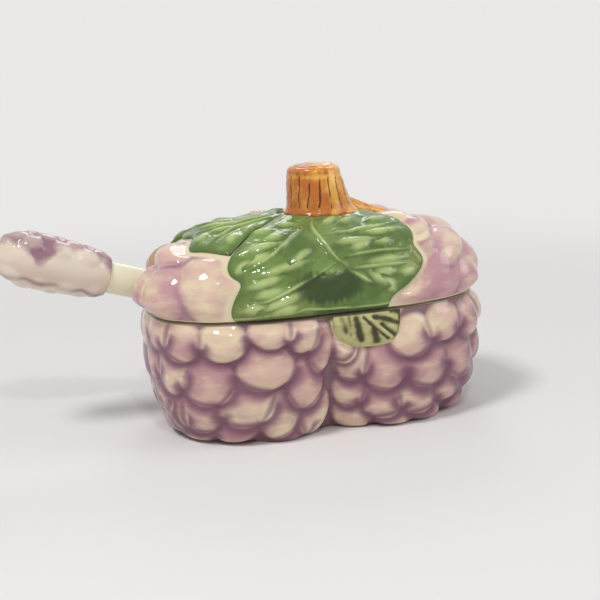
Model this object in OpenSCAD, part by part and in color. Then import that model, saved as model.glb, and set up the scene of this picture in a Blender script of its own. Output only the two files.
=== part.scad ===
// Glazed earthenware jam pot: two bunches of grapes, a lift-off lid with vine leaves, and a spoon.
// X runs along the pot with the spoon handle at the low end, the front faces -Y, and Z is up.
// The origin is the middle of the foot, on the table.

/* [Pot] */
// Half of the rim's length
rim_half_length = 58; // [54:0.5:64]
// Half of the rim's width
rim_half_width = 33.5; // [31:0.5:38]
// Half of the foot's length
foot_half_length = 46.5; // [42:0.5:50]
// Half of the foot's width
foot_half_width = 27; // [25:0.5:30]
// Squareness of the oval plan, where 2 is an ellipse
plan_power = 2.8; // [2.4:0.1:3.2]
// Height of the pot from the table to its rim
pot_height = 43; // [40:0.5:50]
// Height at which the wall reaches its full width
belly_height = 34; // [28:1:38]
// Thickness of the pot's wall
pot_wall = 4; // [3:0.25:5]
// Thickness of the pot's floor
floor_thickness = 5; // [4:0.25:6]
// Radius of the corner between floor and wall
floor_corner = 5; // [3:0.5:7]
// Depth of the cleft between the two bunches, at the foot
cleft_depth = 7; // [4:0.5:9]
// Half width of the cleft
cleft_half_width = 13; // [10:0.5:16]

/* [Grapes] */
// Radius of the ball that shapes each grape of the pot
pot_grape_radius = 11; // [9.5:0.25:13]
// How far a grape stands out of the pot
pot_grape_rise = 4.3; // [3:0.1:5]
// Radius of the ball that shapes each grape of the lid
lid_grape_radius = 15; // [13:0.5:18]
// How far a grape stands out of the lid
lid_grape_rise = 3.6; // [2.5:0.1:4.5]
// Height of the plain band beside the seam, on the pot and on the lid
plain_band = 3.5; // [2:0.25:5]

/* [Lid] */
// Height of the dome, without the mound under the knob
lid_height = 24; // [20:0.5:30]
// Height of the mound that carries the knob
mound_height = 5; // [3:0.5:7]
// Thickness of the lid at its top
lid_wall = 4.5; // [3.5:0.25:6]
// How far the lid's edge stands past the pot's rim
lid_overhang = 0.5; // [0.25:0.25:1.5]
// Gap between the lid's edge and the pot's rim
seat_gap = 0.2; // [0.1:0.05:0.4]
// Depth of the flange that keeps the lid on the pot
flange_drop = 4; // [3:0.5:6]
// Thickness of the flange
flange_thickness = 3; // [2:0.25:4]
// Gap between the flange and the pot's inner wall
flange_clearance = 1.2; // [0.8:0.1:2]

/* [Leaves] */
// Thickness of a leaf in its middle
leaf_thickness = 1.6; // [1.2:0.1:2.2]
// Thickness of a leaf at its edge
leaf_edge = 0.8; // [0.5:0.1:1.1]
// Layer of slip between a leaf and what carries it
slip_gap = 0.4; // [0.3:0.05:0.5]
// Height of the midrib over a leaf
midrib_rise = 0.8; // [0.3:0.1:1.2]
// Height of the side veins over a leaf
vein_rise = 0.4; // [0.1:0.1:0.6]
// Half of the width of the leaf under the rim
pot_leaf_half_width = 11.5; // [9:0.5:13]
// How far the leaf under the rim hangs down
pot_leaf_drop = 12; // [9:0.5:14]
// Distance of that leaf's middle from the cleft
pot_leaf_offset = 8; // [5:0.5:12]

/* [Stalk] */
// Distance of the stalk knob from the middle of the pot
knob_offset = 4.5; // [0:0.5:8]
// Height of the stalk knob
knob_height = 17; // [14:0.5:22]
// Radius of the knob where it stands on the lid
knob_base_radius = 12.3; // [11:0.1:14]
// Radius of the knob at its top
knob_top_radius = 10.2; // [8.5:0.1:11]
// Radius of the knob's rounded top edge
knob_edge = 2; // [1:0.25:3]
// Number of grooves in the bark
bark_grooves = 16; // [8:1:22]
// Radius of a groove in the bark
groove_radius = 0.7; // [0.4:0.1:1]
// Length of the side twig
twig_length = 15; // [8:0.5:20]
// Half of the twig's width at the knob
twig_half_width = 4; // [2.5:0.25:5]
// Height of the twig at the knob
twig_height = 3.6; // [2:0.2:5]

/* [Spoon] */
// Slope of the spoon as it leans on the rim, in degrees
spoon_slope = 18; // [15:0.5:20]
// Distance of the spoon from the middle of the pot, towards the back
spoon_offset = 9; // [5:0.5:11]
// Radius of the spoon's stem
stem_radius = 5.5; // [4.5:0.1:6]
// Radius of the neck above the bowl
neck_radius = 4; // [3:0.1:4.5]
// Gap between the stem and the pot's rim
rest_gap = 0.3; // [0.2:0.05:0.5]
// Gap between the stem and the sides of the lid's notch
notch_clearance = 2.3; // [1.8:0.1:2.8]
// How far the notch reaches in from the end of the lid
notch_reach = 14; // [13:0.5:16]
// Radius of the two corners at the inner end of the notch
notch_corner = 2.5; // [1:0.5:4]
// Gap between the tip of the bowl and the pot's wall
tip_clearance = 1.5; // [1:0.25:4]
// Length of stem from the pot's inner rim to the handle
stem_outside = 17; // [15:0.5:24]
// Radius of the handle's collar, where the stem comes out of it
collar_radius = 6.6; // [6:0.1:7.2]
// Length of the grape-bunch handle
handle_length = 39.5; // [30:0.5:50]
// Half of the handle's width
handle_half_width = 9; // [7.5:0.25:11]
// Half of the handle's height
handle_half_height = 8.6; // [7.5:0.1:10]
// Height of the small grapes on the handle
handle_grape_rise = 0.8; // [0.5:0.1:1.6]
// Length of the spoon's bowl
bowl_length = 36; // [28:0.5:40]
// Half of the bowl's width
bowl_half_width = 12; // [9:0.5:13]
// Depth of the bowl under the stem's axis
bowl_depth = 7; // [6:0.25:8]
// Thickness of the bowl's wall
bowl_wall = 2.4; // [2:0.1:3]

/* [Hidden] */

$fn = 64;

// Facets round the pot and the lid, fewer of them round the pot's inside, and rows of facets up the walls
around = 104;
around_inside = 52;
pot_rows = 23;
lid_rows = 14;
inner_rows = 3;
// Shift, in degrees, that spaces the facets evenly round the oval
even_spacing = 7.5;
// Half step, in degrees or shares, for measuring a surface's slope
slope_step = 0.5;
slope_share = 0.005;
overlap = 1;

// Grapes of the pot as [angle round the pot, height over the table], for the left and the right bunch.
// The back has the same two bunches turned by half a turn.
left_bunch = [
    [176, 37], [203, 38], [219, 35], [233, 36], [246, 40], [256, 39],
    [167, 27], [189, 28], [211, 26], [225, 23], [245, 27], [256, 23],
    [178, 15], [196, 16], [209, 12], [220, 12], [236, 16], [247, 10], [258, 9],
    [190, 4], [214, 3], [231, 5]
];
right_bunch = [
    [293, 33], [307, 35], [320, 36], [336, 37],
    [274, 26], [286, 23], [301, 22], [315, 23], [329, 24], [345, 26],
    [276, 15], [286, 12], [298, 11], [310, 12], [321, 14], [336, 13],
    [275, 6], [291, 3], [304, 3], [327, 4], [348, 3]
];

// Grapes of the lid as [angle round the lid, share of the way from the rim to the knob, extra rise]
lid_bunch = [
    [188, 0.18, 1.6], [207, 0.33, 0], [226, 0.3, 0], [192, 0.48, 0],
    [301, 0.17, -1], [315, 0.29, 0], [332, 0.18, 0], [332, 0.51, 0], [318, 0.62, 0],
    [352, 0.28, 0], [12, 0.2, 0], [352, 0.6, 0], [14, 0.52, 0], [32, 0.3, 0], [50, 0.22, 0],
    [68, 0.34, 0], [86, 0.22, 0], [104, 0.34, 0], [122, 0.22, 0], [140, 0.32, 0],
    [40, 0.62, 0], [74, 0.66, 0], [106, 0.66, 0]
];

// Edges of the front leaf as [share of the way up the lid, angle round the lid]
front_leaf_left = [
    [0, 236], [0.07, 234], [0.2, 235], [0.32, 237], [0.38, 231], [0.48, 228], [0.7, 225], [0.86, 215],
    [0.985, 196]
];
front_leaf_right = [
    [0, 284], [0.12, 286], [0.2, 292], [0.36, 299], [0.5, 298], [0.54, 300], [0.62, 306], [0.77, 316],
    [0.86, 328], [0.985, 338]
];
// Lower edge of the side leaf as [angle round the lid, share of the way up the lid]
side_leaf_edge = [
    [128, 0.7], [140, 0.63], [150, 0.6], [160, 0.6], [168, 0.62], [178, 0.66], [192, 0.6], [200, 0.55],
    [212, 0.58], [226, 0.55]
];
// Shares of the way up at which the leaves begin and end, and the angles between which the side leaf lies
leaf_foot = 0.015;
leaf_top = 0.985;
side_leaf_back = 128;
side_leaf_front = 226;

// Shape of a leaf's relief: share of the half width that the midrib takes, turns that a side vein slants by,
// share at which the side veins begin, and power with which the leaf thins out to its edge
midrib_share = 0.13;
vein_slant = 1.5;
vein_start = 0.25;
leaf_edge_power = 4;
// Share of the leaf under the rim at which its two corners are cut off
pot_leaf_trim = 0.985;

// Over how many degrees, or share of the way up, the grapes die out beside a leaf, and the bare margin there
leaf_fade_angle = 9;
leaf_fade_share = 0.1;
leaf_margin_angle = 3;
leaf_margin_share = 0.07;
pad_fade_share = 0.2;
// The same round the leaf under the rim, as a share of that leaf, and the bare margin beside it
pot_leaf_fade = 0.25;
pot_leaf_margin = 0.2;

// How the cleft dies out towards the lid's flange, and how the rows of facets crowd at the foot
cleft_power = 0.6;
foot_row_power = 1.2;
// Powers that square the dome: how the rows close in, how the side stands up and how the shoulder rounds
row_power = 2.4;
side_power = 4.2;
shoulder_power = 0.475;

// Shares of the way up between which the lid's inside is measured
inner_foot = 0.12;
inner_top = 0.92;

pad_margin = 0.5;
pad_radius = knob_base_radius + pad_margin;
lid_seat_z = pot_height + seat_gap;
knob_z = lid_seat_z + lid_height + mound_height;
lid_half_length = rim_half_length + lid_overhang;
lid_half_width = rim_half_width + lid_overhang;
flange_half_length = rim_half_length - pot_wall - flange_clearance;
flange_half_width = rim_half_width - pot_wall - flange_clearance;
flange_z = lid_seat_z - flange_drop;

// Spoon, worked out from the rim that it leans on and the wall that its tip reaches
rest_x = -oval_x(spoon_offset, rim_half_length - pot_wall, rim_half_width - pot_wall);
rest_z = pot_height + rest_gap + stem_radius / cos(spoon_slope);
far_x = rim_half_length - pot_wall;
far_z = rest_z - (far_x - rest_x) * tan(spoon_slope);
far_half_length = wall_half_length(far_z) - pot_wall;
far_half_width = wall_half_width(far_z) - pot_wall;
tip_x = oval_x(spoon_offset, far_half_length, far_half_width) - tip_clearance;
spoon_reach = (tip_x - rest_x) / cos(spoon_slope);
handle_tip = -stem_outside - handle_length;
bowl_start = spoon_reach - bowl_length;
// Length over which the stem narrows to the neck
neck_length = 16;
// Share of the handle at which it is widest, and power that moves the bowl's widest place to its tip
handle_widest = 0.62;
bowl_power = 1.15;
// Middle and half length of the bowl's hollow, as shares of the bowl, and the angle at which it stops
hollow_middle = 0.54;
hollow_half = 0.4;
hollow_stop = 80;
// Pitch of the small grapes along the handle and the length over which they grow at the collar
handle_grape_pitch = 7.5;
handle_grape_fade = 6;
// Half of the number of rows of small grapes round the handle
handle_grape_rows = 3;
// Share of the handle and of the bowl at which their rounded ends are cut off
tip_trim = 0.985;

function clamp01(t) = max(0, min(1, t));
function mix(a, b, t) = a + (b - a) * t;

// Point of an oval with the given half sizes, at an angle
function oval(angle, a, b, power) =
    let (k = pow(pow(abs(cos(angle)), power) + pow(abs(sin(angle)), power), -1 / power))
    [a * k * cos(angle), b * k * sin(angle)];

// Half length of such an oval at a distance from its long axis
function oval_x(y, a, b) = a * pow(1 - pow(abs(y) / b, plan_power), 1 / plan_power);

// Angle of facet i of a number of facets
function facet_angle(i, count) = 360 * i / count + even_spacing * sin(720 * i / count);

// Share of its full width that the wall has reached at a height
function belly(z) = sqrt(1 - pow(1 - clamp01(z / belly_height), 2));
function wall_half_length(z) = mix(foot_half_length, rim_half_length, belly(z));
function wall_half_width(z) = mix(foot_half_width, rim_half_width, belly(z));

// Smooth wall of the pot, set in by a thickness, with the cleft pressed into front and back
function pot_wall_point(angle, z, inset) =
    let (
        p = oval(angle, wall_half_length(z) - inset, wall_half_width(z) - inset, plan_power),
        depth = cleft_depth / foot_half_width * pow(clamp01(1 - z / flange_z), cleft_power)
    )
    [p.x, p.y * (1 - depth * exp(-pow(p.x / cleft_half_width, 2))), z];

// Level direction that points out of the pot
function pot_normal(angle, z) =
    let (t = pot_wall_point(angle + slope_step, z, 0) - pot_wall_point(angle - slope_step, z, 0))
    [t.y, -t.x, 0] / norm(t);

// How far grapes of one ball radius stand out at a point
function grape_swell(point, centres, radius, rises) =
    max(0, max([for (i = [0:len(centres) - 1])
        let (room = pow(radius, 2) - pow(norm(point - centres[i]), 2))
        room > 0 ? sqrt(room) - radius + rises[i] : 0]));

pot_grapes = [for (turn = [0, 180], g = concat(left_bunch, right_bunch))
    pot_wall_point(g[0] + turn, g[1], 0)];
pot_rises = [for (g = pot_grapes) pot_grape_rise];

// The grapes die out at the seam and round the leaf under the rim
function pot_leaf_clear(p) =
    p.y > 0 ? 1 : clamp01((norm([(p.x - pot_leaf_offset) / pot_leaf_half_width,
        (p.z - pot_height) / pot_leaf_drop]) - 1 - pot_leaf_margin) / pot_leaf_fade);
function pot_skin(angle, z, out) =
    let (
        p = pot_wall_point(angle, z, 0),
        fade = clamp01((pot_height - z) / plain_band) * pot_leaf_clear(p)
    )
    p + pot_normal(angle, z) * (out + fade * grape_swell(p, pot_grapes, pot_grape_radius, pot_rises));

// Smooth dome of the lid: share 0 is its edge and share 1 the round pad under the knob
function dome_spread(share) = 1 - pow(share, row_power);
function dome_rise(spread) = pow(max(0, 1 - pow(spread, side_power)), shoulder_power);
function dome_point(angle, share) =
    let (
        spread = dome_spread(share),
        p = oval(angle, mix(pad_radius, lid_half_length, spread), mix(pad_radius, lid_half_width, spread),
            mix(2, plan_power, spread))
    )
    [p.x + knob_offset * (1 - spread), p.y,
        lid_seat_z + lid_height * dome_rise(spread) + mound_height * pow(1 - spread, 2)];
function dome_normal(angle, share) =
    let (
        s = min(share, 1 - slope_share),
        n = cross(dome_point(angle + slope_step, s) - dome_point(angle - slope_step, s),
            dome_point(angle, s + slope_share) - dome_point(angle, max(0, s - slope_share)))
    )
    n / norm(n);

lid_grapes = [for (g = lid_bunch) dome_point(g[0], g[1])];
lid_rises = [for (g = lid_bunch) lid_grape_rise + g[2]];

// The grapes of the lid die out at the plain band, under the leaves and at the knob's pad
function front_leaf_clear(angle, share) =
    clamp01((max(lookup(share, front_leaf_left) - angle, angle - lookup(share, front_leaf_right))
        - leaf_margin_angle) / leaf_fade_angle);
function side_leaf_clear(angle, share) =
    clamp01(max((max(side_leaf_back - angle, angle - side_leaf_front) - leaf_margin_angle) / leaf_fade_angle,
        (lookup(angle, side_leaf_edge) - share - leaf_margin_share) / leaf_fade_share));
function lid_skin(angle, share, out) =
    let (
        p = dome_point(angle, share),
        turn = angle < 0 ? angle + 360 : angle % 360,
        fade = clamp01((p.z - lid_seat_z) / plain_band) * clamp01((1 - share) / pad_fade_share)
            * front_leaf_clear(turn, share) * side_leaf_clear(turn, share)
    )
    p + dome_normal(angle, share) * (out + fade * grape_swell(p, lid_grapes, lid_grape_radius, lid_rises));

// Closed skin over rings of points that run anticlockwise seen from above, with the rings going upwards
module loft(rings) {
    count = len(rings[0]);
    last = len(rings) - 1;
    polyhedron(
        points = [for (ring = rings) each ring],
        faces = concat(
            [[for (j = [0:count - 1]) j]],
            [[for (j = [count - 1:-1:0]) last * count + j]],
            [for (i = [0:last - 1], j = [0:count - 1])
                let (k = (j + 1) % count)
                each [[i * count + j, (i + 1) * count + j, (i + 1) * count + k],
                    [i * count + j, (i + 1) * count + k, i * count + k]]]
        )
    );
}

// Closed slab between two sheets of points with the same rows and columns
module slab(under, over) {
    rows = len(under);
    cols = len(under[0]);
    sheet = rows * cols;
    function at(i, j) = i * cols + j;
    function strip(a, b) = [[a, a + sheet, b + sheet], [a, b + sheet, b]];
    polyhedron(
        points = concat([for (row = under) each row], [for (row = over) each row]),
        faces = concat(
            [for (i = [0:rows - 2], j = [0:cols - 2])
                each [[sheet + at(i, j), sheet + at(i + 1, j), sheet + at(i + 1, j + 1)],
                    [sheet + at(i, j), sheet + at(i + 1, j + 1), sheet + at(i, j + 1)],
                    [at(i, j), at(i + 1, j + 1), at(i + 1, j)],
                    [at(i, j), at(i, j + 1), at(i + 1, j + 1)]]],
            [for (j = [0:cols - 2]) each strip(at(0, j), at(0, j + 1))],
            [for (j = [0:cols - 2]) each strip(at(rows - 1, j + 1), at(rows - 1, j))],
            [for (i = [0:rows - 2]) each strip(at(i + 1, 0), at(i, 0))],
            [for (i = [0:rows - 2]) each strip(at(i, cols - 1), at(i + 1, cols - 1))]
        )
    );
}

// Thickness of a leaf at a share across and a share along it, with midrib and side veins
function leaf_body(across, along, veins) =
    let (
        side = abs(2 * across - 1),
        vein = pow(max(0, cos(360 * (veins * along + vein_slant * side))), 2) * (1 - side)
            * min(1, side / vein_start)
    )
    mix(leaf_thickness, leaf_edge, pow(side, leaf_edge_power))
        + midrib_rise * exp(-pow(side / midrib_share, 2)) + vein_rise * vein;

module pot_body() {
    outside = [for (j = [0:pot_rows])
        let (z = pot_height * pow(j / pot_rows, foot_row_power))
        [for (i = [0:around - 1]) pot_skin(facet_angle(i, around), z, 0)]];
    corner = [for (turn = [90, 60, 30])
        [for (i = [0:around_inside - 1])
            pot_wall_point(facet_angle(i, around_inside), floor_thickness + floor_corner * (1 - sin(turn)),
                pot_wall + floor_corner * (1 - cos(turn)))]];
    wall = [for (j = [0:inner_rows])
        let (z = mix(floor_thickness + floor_corner, pot_height, j / inner_rows))
        [for (i = [0:around_inside - 1]) pot_wall_point(facet_angle(i, around_inside), z, pot_wall)]];
    mouth = [for (p = wall[inner_rows]) p + [0, 0, overlap]];
    color("thistle")
    difference() {
        loft(outside);
        loft(concat(corner, wall, [mouth]));
    }
}

module pot_leaf() {
    rows = 8;
    cols = 13;
    edge = [for (j = [0:cols - 1])
        let (across = -cos(180 * j / (cols - 1)) * pot_leaf_trim)
        [across, sqrt(1 - across * across)]];
    function angle_at(across) =
        let (x = pot_leaf_offset + pot_leaf_half_width * across)
        270 + asin(clamp01(abs(x) / rim_half_length)) * sign(x);
    function sheet(thick) = [for (i = [0:rows - 1])
        [for (j = [0:cols - 1])
            let (
                up = i / (rows - 1),
                z = pot_height - leaf_edge - pot_leaf_drop * edge[j][1] * (1 - up),
                body = leaf_body(j / (cols - 1), up, 3)
            )
            pot_skin(angle_at(edge[j][0]), z, slip_gap + thick * body)]];
    color("darkseagreen")
        slab(sheet(0), sheet(1));
}

module lid_shell() {
    function level_ring(a, b, z) = [for (i = [0:around - 1])
        let (p = oval(facet_angle(i, around), a, b, plan_power))
        [p.x, p.y, z]];
    function flange_ring(inset, z) = level_ring(flange_half_length - inset, flange_half_width - inset, z);
    inside = [for (j = [inner_rows:-1:0])
        let (spread = dome_spread(mix(inner_foot, inner_top, j / inner_rows)))
        level_ring((lid_half_length - lid_wall) * spread, (lid_half_width - lid_wall) * spread,
            lid_seat_z + (lid_height - lid_wall) * dome_rise(spread))];
    flange = [
        flange_ring(flange_thickness, lid_seat_z),
        flange_ring(flange_thickness, flange_z),
        flange_ring(0, flange_z),
        flange_ring(0, lid_seat_z)
    ];
    outside = [for (j = [0:lid_rows])
        [for (i = [0:around - 1]) lid_skin(facet_angle(i, around), j / lid_rows, 0)]];
    color("plum")
    difference() {
        loft(concat(inside, flange, outside));
        spoon_notch();
    }
}

// Upright bay in the end of the lid, so that the lid lifts off past the stem
module spoon_notch() {
    half_width = stem_radius + notch_clearance;
    corner_y = half_width - notch_corner;
    translate([notch_reach - lid_half_length, spoon_offset, flange_z - overlap])
        linear_extrude(height = knob_z - flange_z) {
            translate([-lid_half_length, -corner_y])
                square([lid_half_length, 2 * corner_y]);
            translate([-lid_half_length, -half_width])
                square([lid_half_length - notch_corner, 2 * half_width]);
            for (side = [-1, 1])
                translate([-notch_corner, side * corner_y])
                    circle(r = notch_corner);
        }
}

module front_leaf() {
    rows = 16;
    cols = 19;
    function sheet(thick) = [for (i = [0:rows - 1])
        [for (j = [0:cols - 1])
            let (
                share = mix(leaf_foot, leaf_top, i / (rows - 1)),
                across = j / (cols - 1),
                angle = mix(lookup(share, front_leaf_left), lookup(share, front_leaf_right), across)
            )
            lid_skin(angle, share, slip_gap + thick * leaf_body(across, i / (rows - 1), 4))]];
    color("forestgreen")
        slab(sheet(0), sheet(1));
}

module side_leaf() {
    rows = 10;
    cols = 19;
    // The leaf stops just short of the front leaf
    parting = 1.5;
    function sheet(thick) = [for (i = [0:rows - 1])
        [for (j = [0:cols - 1])
            let (
                across = j / (cols - 1),
                along = i / (rows - 1),
                edge_angle = mix(side_leaf_back, side_leaf_front, across),
                share = mix(lookup(edge_angle, side_leaf_edge), leaf_top, along),
                angle = mix(side_leaf_back, lookup(share, front_leaf_left) - parting, across)
            )
            lid_skin(angle, share, slip_gap + thick * leaf_body(across, along, 3))]];
    color("seagreen")
        slab(sheet(0), sheet(1));
}

module stalk_knob() {
    lean = atan((knob_base_radius - knob_top_radius) / knob_height);
    color("peru")
    translate([knob_offset, 0, knob_z])
    difference() {
        rotate_extrude()
            polygon(concat(
                [[0, 0], [knob_base_radius, 0]],
                [for (turn = [0:15:90])
                    [knob_top_radius - knob_edge * (1 - cos(turn)),
                        knob_height - knob_edge * (1 - sin(turn))]],
                [[0, knob_height]]
            ));
        for (i = [0:bark_grooves - 1])
            rotate([0, 0, 360 * (i + 0.5) / bark_grooves])
                translate([knob_base_radius, 0, -overlap])
                    rotate([0, -lean, 0])
                        cylinder(r = groove_radius, h = knob_height - knob_edge + overlap, $fn = 16);
    }
}

module side_twig() {
    rows = 9;
    cols = 9;
    // Shares of the dome that lie at the knob's pad and at the twig's tip
    start = 0.995;
    tip_spread = twig_length / (lid_half_length - pad_radius);
    tip = pow(1 - tip_spread, 1 / row_power);
    function sheet(thick) = [for (i = [0:rows - 1])
        [for (j = [0:cols - 1])
            let (
                along = 1 - i / (rows - 1),
                side = 2 * j / (cols - 1) - 1,
                share = mix(start, tip, along),
                spread = dome_spread(share),
                half_width = mix(twig_half_width, twig_half_width / 3, along),
                angle = asin(half_width * side / mix(pad_radius, lid_half_width, spread)),
                body = leaf_edge / 2 + mix(twig_height, leaf_edge, along) * sqrt(1 - side * side)
            )
            dome_point(angle, share) + dome_normal(angle, share) * (slip_gap + thick * body)]];
    color("sandybrown")
        slab(sheet(0), sheet(1));
}

// Places the spoon: its axis runs down into the pot along +X, over the rim at the origin
module along_spoon() {
    translate([rest_x, spoon_offset, rest_z])
        rotate([0, spoon_slope, 0])
            children();
}

// Half width, height over the axis and depth under it, at a distance along the spoon
function handle_size(x, half) =
    let (along = (-stem_outside - x) / handle_length)
    along < handle_widest ? mix(collar_radius, half, sin(90 * along / handle_widest))
    : half * sqrt(max(0, 1 - pow((along - handle_widest) / (1 - handle_widest), 2)));
function bowl_outline(x) =
    let (t = clamp01((x - bowl_start) / bowl_length))
    sqrt(max(0, sin(180 * pow(t, bowl_power))));
function stem_size(x) = mix(stem_radius, neck_radius, clamp01((x - bowl_start + neck_length) / neck_length));
function spoon_size(x) =
    x < -stem_outside ? [
        handle_size(x, handle_half_width),
        handle_size(x, handle_half_height),
        handle_size(x, handle_half_height)
    ]
    : x < bowl_start ? [stem_size(x), stem_size(x), stem_size(x)]
    : let (
        t = (x - bowl_start) / bowl_length,
        open = bowl_outline(x),
        fade = clamp01(1 - 3 * t)
    )
    [max(neck_radius * fade, bowl_half_width * open), mix(bowl_wall * open, neck_radius, fade),
        max(neck_radius * fade, bowl_depth * open)];

module jam_spoon() {
    sides = 20;
    handle_steps = 14;
    bowl_steps = 10;
    stations = concat(
        [for (i = [handle_steps:-1:0])
            -stem_outside - handle_length * sin(90 * i / handle_steps) * tip_trim],
        [-stem_outside / 2, 0, bowl_start / 2, bowl_start - neck_length, bowl_start - neck_length / 2],
        [for (i = [0:bowl_steps]) bowl_start + bowl_length * sin(90 * i / bowl_steps) * tip_trim]
    );
    function swell(x, turn) =
        x > -stem_outside ? 0
        : handle_grape_rise * clamp01((-stem_outside - x) / handle_grape_fade)
            * abs(sin(180 * x / handle_grape_pitch) * cos(handle_grape_rows * turn));
    rings = [for (x = stations)
        let (size = spoon_size(x))
        [for (j = [0:sides - 1])
            let (
                turn = 360 * j / sides,
                grow = swell(x, turn),
                height = sin(turn) > 0 ? size[1] : size[2]
            )
            [x, (size[0] + grow) * cos(turn), (height + grow) * sin(turn)]]];
    color("lavender")
    along_spoon()
    difference() {
        loft(rings);
        bowl_hollow();
    }
}

// Egg-shaped hollow of the bowl, open at the top
module bowl_hollow() {
    sides = 20;
    steps = 9;
    middle = bowl_start + hollow_middle * bowl_length;
    half_length = hollow_half * bowl_length;
    half_width = bowl_half_width - bowl_wall;
    rings = [for (i = [0:steps])
        let (
            turn = mix(-hollow_stop, hollow_stop, i / steps),
            x = middle + half_length * sin(turn)
        )
        [for (j = [0:sides - 1])
            [x, half_width * cos(turn) * cos(360 * j / sides),
                bowl_wall + bowl_depth * cos(turn) * sin(360 * j / sides)]]];
    loft(rings);
}

pot_body();
pot_leaf();
lid_shell();
front_leaf();
side_leaf();
stalk_knob();
side_twig();
jam_spoon();
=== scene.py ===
# %% [markdown]
# # A jam pot made of two bunches of grapes
#
# The real pot is slip-cast earthenware: an oval pot, a lid that lifts off and a spoon that leans out of
# a notch. Leaves and a stalk are luted on, then everything is brushed with coloured glaze and fired.
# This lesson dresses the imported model. Each cell makes one thing and prints what it made, or defines a
# helper for the cells that follow.

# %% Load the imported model
import math

import bmesh
import bpy
import numpy as np
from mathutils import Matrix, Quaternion, Vector
from mathutils.kdtree import KDTree


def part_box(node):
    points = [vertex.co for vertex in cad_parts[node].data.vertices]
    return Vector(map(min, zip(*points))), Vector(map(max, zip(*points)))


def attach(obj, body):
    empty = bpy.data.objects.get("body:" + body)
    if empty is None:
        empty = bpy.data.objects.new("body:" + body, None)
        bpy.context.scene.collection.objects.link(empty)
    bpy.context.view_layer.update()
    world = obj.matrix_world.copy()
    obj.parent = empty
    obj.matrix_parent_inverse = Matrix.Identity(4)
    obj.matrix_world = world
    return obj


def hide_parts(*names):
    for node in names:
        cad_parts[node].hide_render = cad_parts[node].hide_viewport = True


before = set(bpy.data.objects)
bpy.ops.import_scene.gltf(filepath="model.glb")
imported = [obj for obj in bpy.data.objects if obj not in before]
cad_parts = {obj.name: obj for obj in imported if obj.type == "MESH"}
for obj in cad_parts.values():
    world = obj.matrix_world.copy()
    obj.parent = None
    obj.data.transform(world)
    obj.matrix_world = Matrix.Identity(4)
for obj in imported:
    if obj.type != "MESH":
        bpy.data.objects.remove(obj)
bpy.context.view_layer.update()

# %% [markdown]
# ## Sizes
#
# The frame gives the heights and the knob. The plan of the pot is a squared oval, so its half sizes and
# its power are repeated here from the potter's model, in metres.

# %% Sizes of the pot, the lid and the knob
MM = 0.001
knob_low, knob_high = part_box("stalk_knob")

rim_half = np.array((58.0, 33.5)) * MM
foot_half = np.array((46.5, 27.0)) * MM
circle_power, plan_power = 2.0, 2.8
pot_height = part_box("pot_body")[1].z
belly_height = 34 * MM
pot_wall_thickness = 4 * MM
floor_thickness = 5 * MM
floor_corner = 5 * MM
cleft_depth = 7 * MM
cleft_half_width = 13 * MM
cleft_power = 0.6
plain_band = 3.5 * MM

lid_gap = 0.2 * MM
lid_seat = pot_height + lid_gap
lid_overhang = 0.5 * MM
lid_wall = 4.5 * MM
mound_height = 5 * MM
lid_height = knob_low.z - lid_seat - mound_height
lid_half = rim_half + lid_overhang
row_power, side_power, shoulder_power = 2.4, 4.2, 0.475
flange_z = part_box("lid_shell")[0].z
flange_gap = 1.2 * MM
flange_half = rim_half - pot_wall_thickness - flange_gap
flange_thickness = 3 * MM

knob_base_radius = (knob_high.x - knob_low.x) / 2
knob_waist_radius = 11.1 * MM
knob_top_radius = 9.3 * MM
knob_height = knob_high.z - knob_low.z
knob_x = (knob_low.x + knob_high.x) / 2
pad_margin = 0.5 * MM
pad_radius = knob_base_radius + pad_margin

slip_gap = 0.15 * MM
print(f"pot {pot_height / MM:.1f} mm high, lid dome {lid_height / MM:.1f} mm, knob {knob_height / MM:.1f} mm")

# %% [markdown]
# ## The smooth forms
#
# Everything sits on two surfaces: the wall of the pot and the dome of the lid. Both are formulas, so the
# grapes, the leaves and the twig can all ask for a place on them. Angles are in degrees round the pot.
# On the lid, share 0 is the edge and share 1 is the round pad under the knob.

# %% The wall of the pot and the dome of the lid
def mix(low, high, share):
    return low + (high - low) * share


def ease(value, low, high):
    """0 below low, 1 above high, with a soft step between."""
    share = np.clip((value - low) / (high - low), 0, 1)
    return share * share * (3 - 2 * share)


def bump(value, middle, half_width):
    """1 at the middle, dying away softly on both sides."""
    return np.exp(-((value - middle) / half_width) ** 2)


def oval(angle, half, power):
    """Points of a squared oval."""
    cosine, sine = np.cos(np.radians(angle)), np.sin(np.radians(angle))
    reach = (np.abs(cosine) ** power + np.abs(sine) ** power) ** (-1 / power)
    return half[0] * reach * cosine, half[1] * reach * sine


def pot_wall(angle, z, inset=0.0):
    """The wall of the pot before the grapes, set in by a thickness."""
    grown = np.sqrt(1 - (1 - np.clip(z / belly_height, 0, 1)) ** 2)
    half = [mix(foot_half[k], rim_half[k], grown) - inset for k in (0, 1)]
    x, y = oval(angle, half, plan_power)
    depth = cleft_depth / foot_half[1] * np.clip(1 - z / flange_z, 0, 1) ** cleft_power
    y = y * (1 - depth * bump(x, 0, cleft_half_width))
    return np.stack(np.broadcast_arrays(x, y, z), -1)


def dome_height(spread):
    """Height of the dome, where spread is 0 at the pad and 1 at the edge."""
    rise = np.clip(1 - spread ** side_power, 0, 1) ** shoulder_power
    return lid_seat + lid_height * rise + mound_height * (1 - spread) ** 2


def lid_dome(angle, share):
    """The dome of the lid before the grapes."""
    spread = 1 - share ** row_power
    half = [mix(pad_radius, lid_half[k], spread) for k in (0, 1)]
    x, y = oval(angle, half, mix(circle_power, plan_power, spread))
    return np.stack(np.broadcast_arrays(x + knob_x * (1 - spread), y, dome_height(spread)), -1)


angle_step, share_step = 0.5, 0.005


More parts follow.
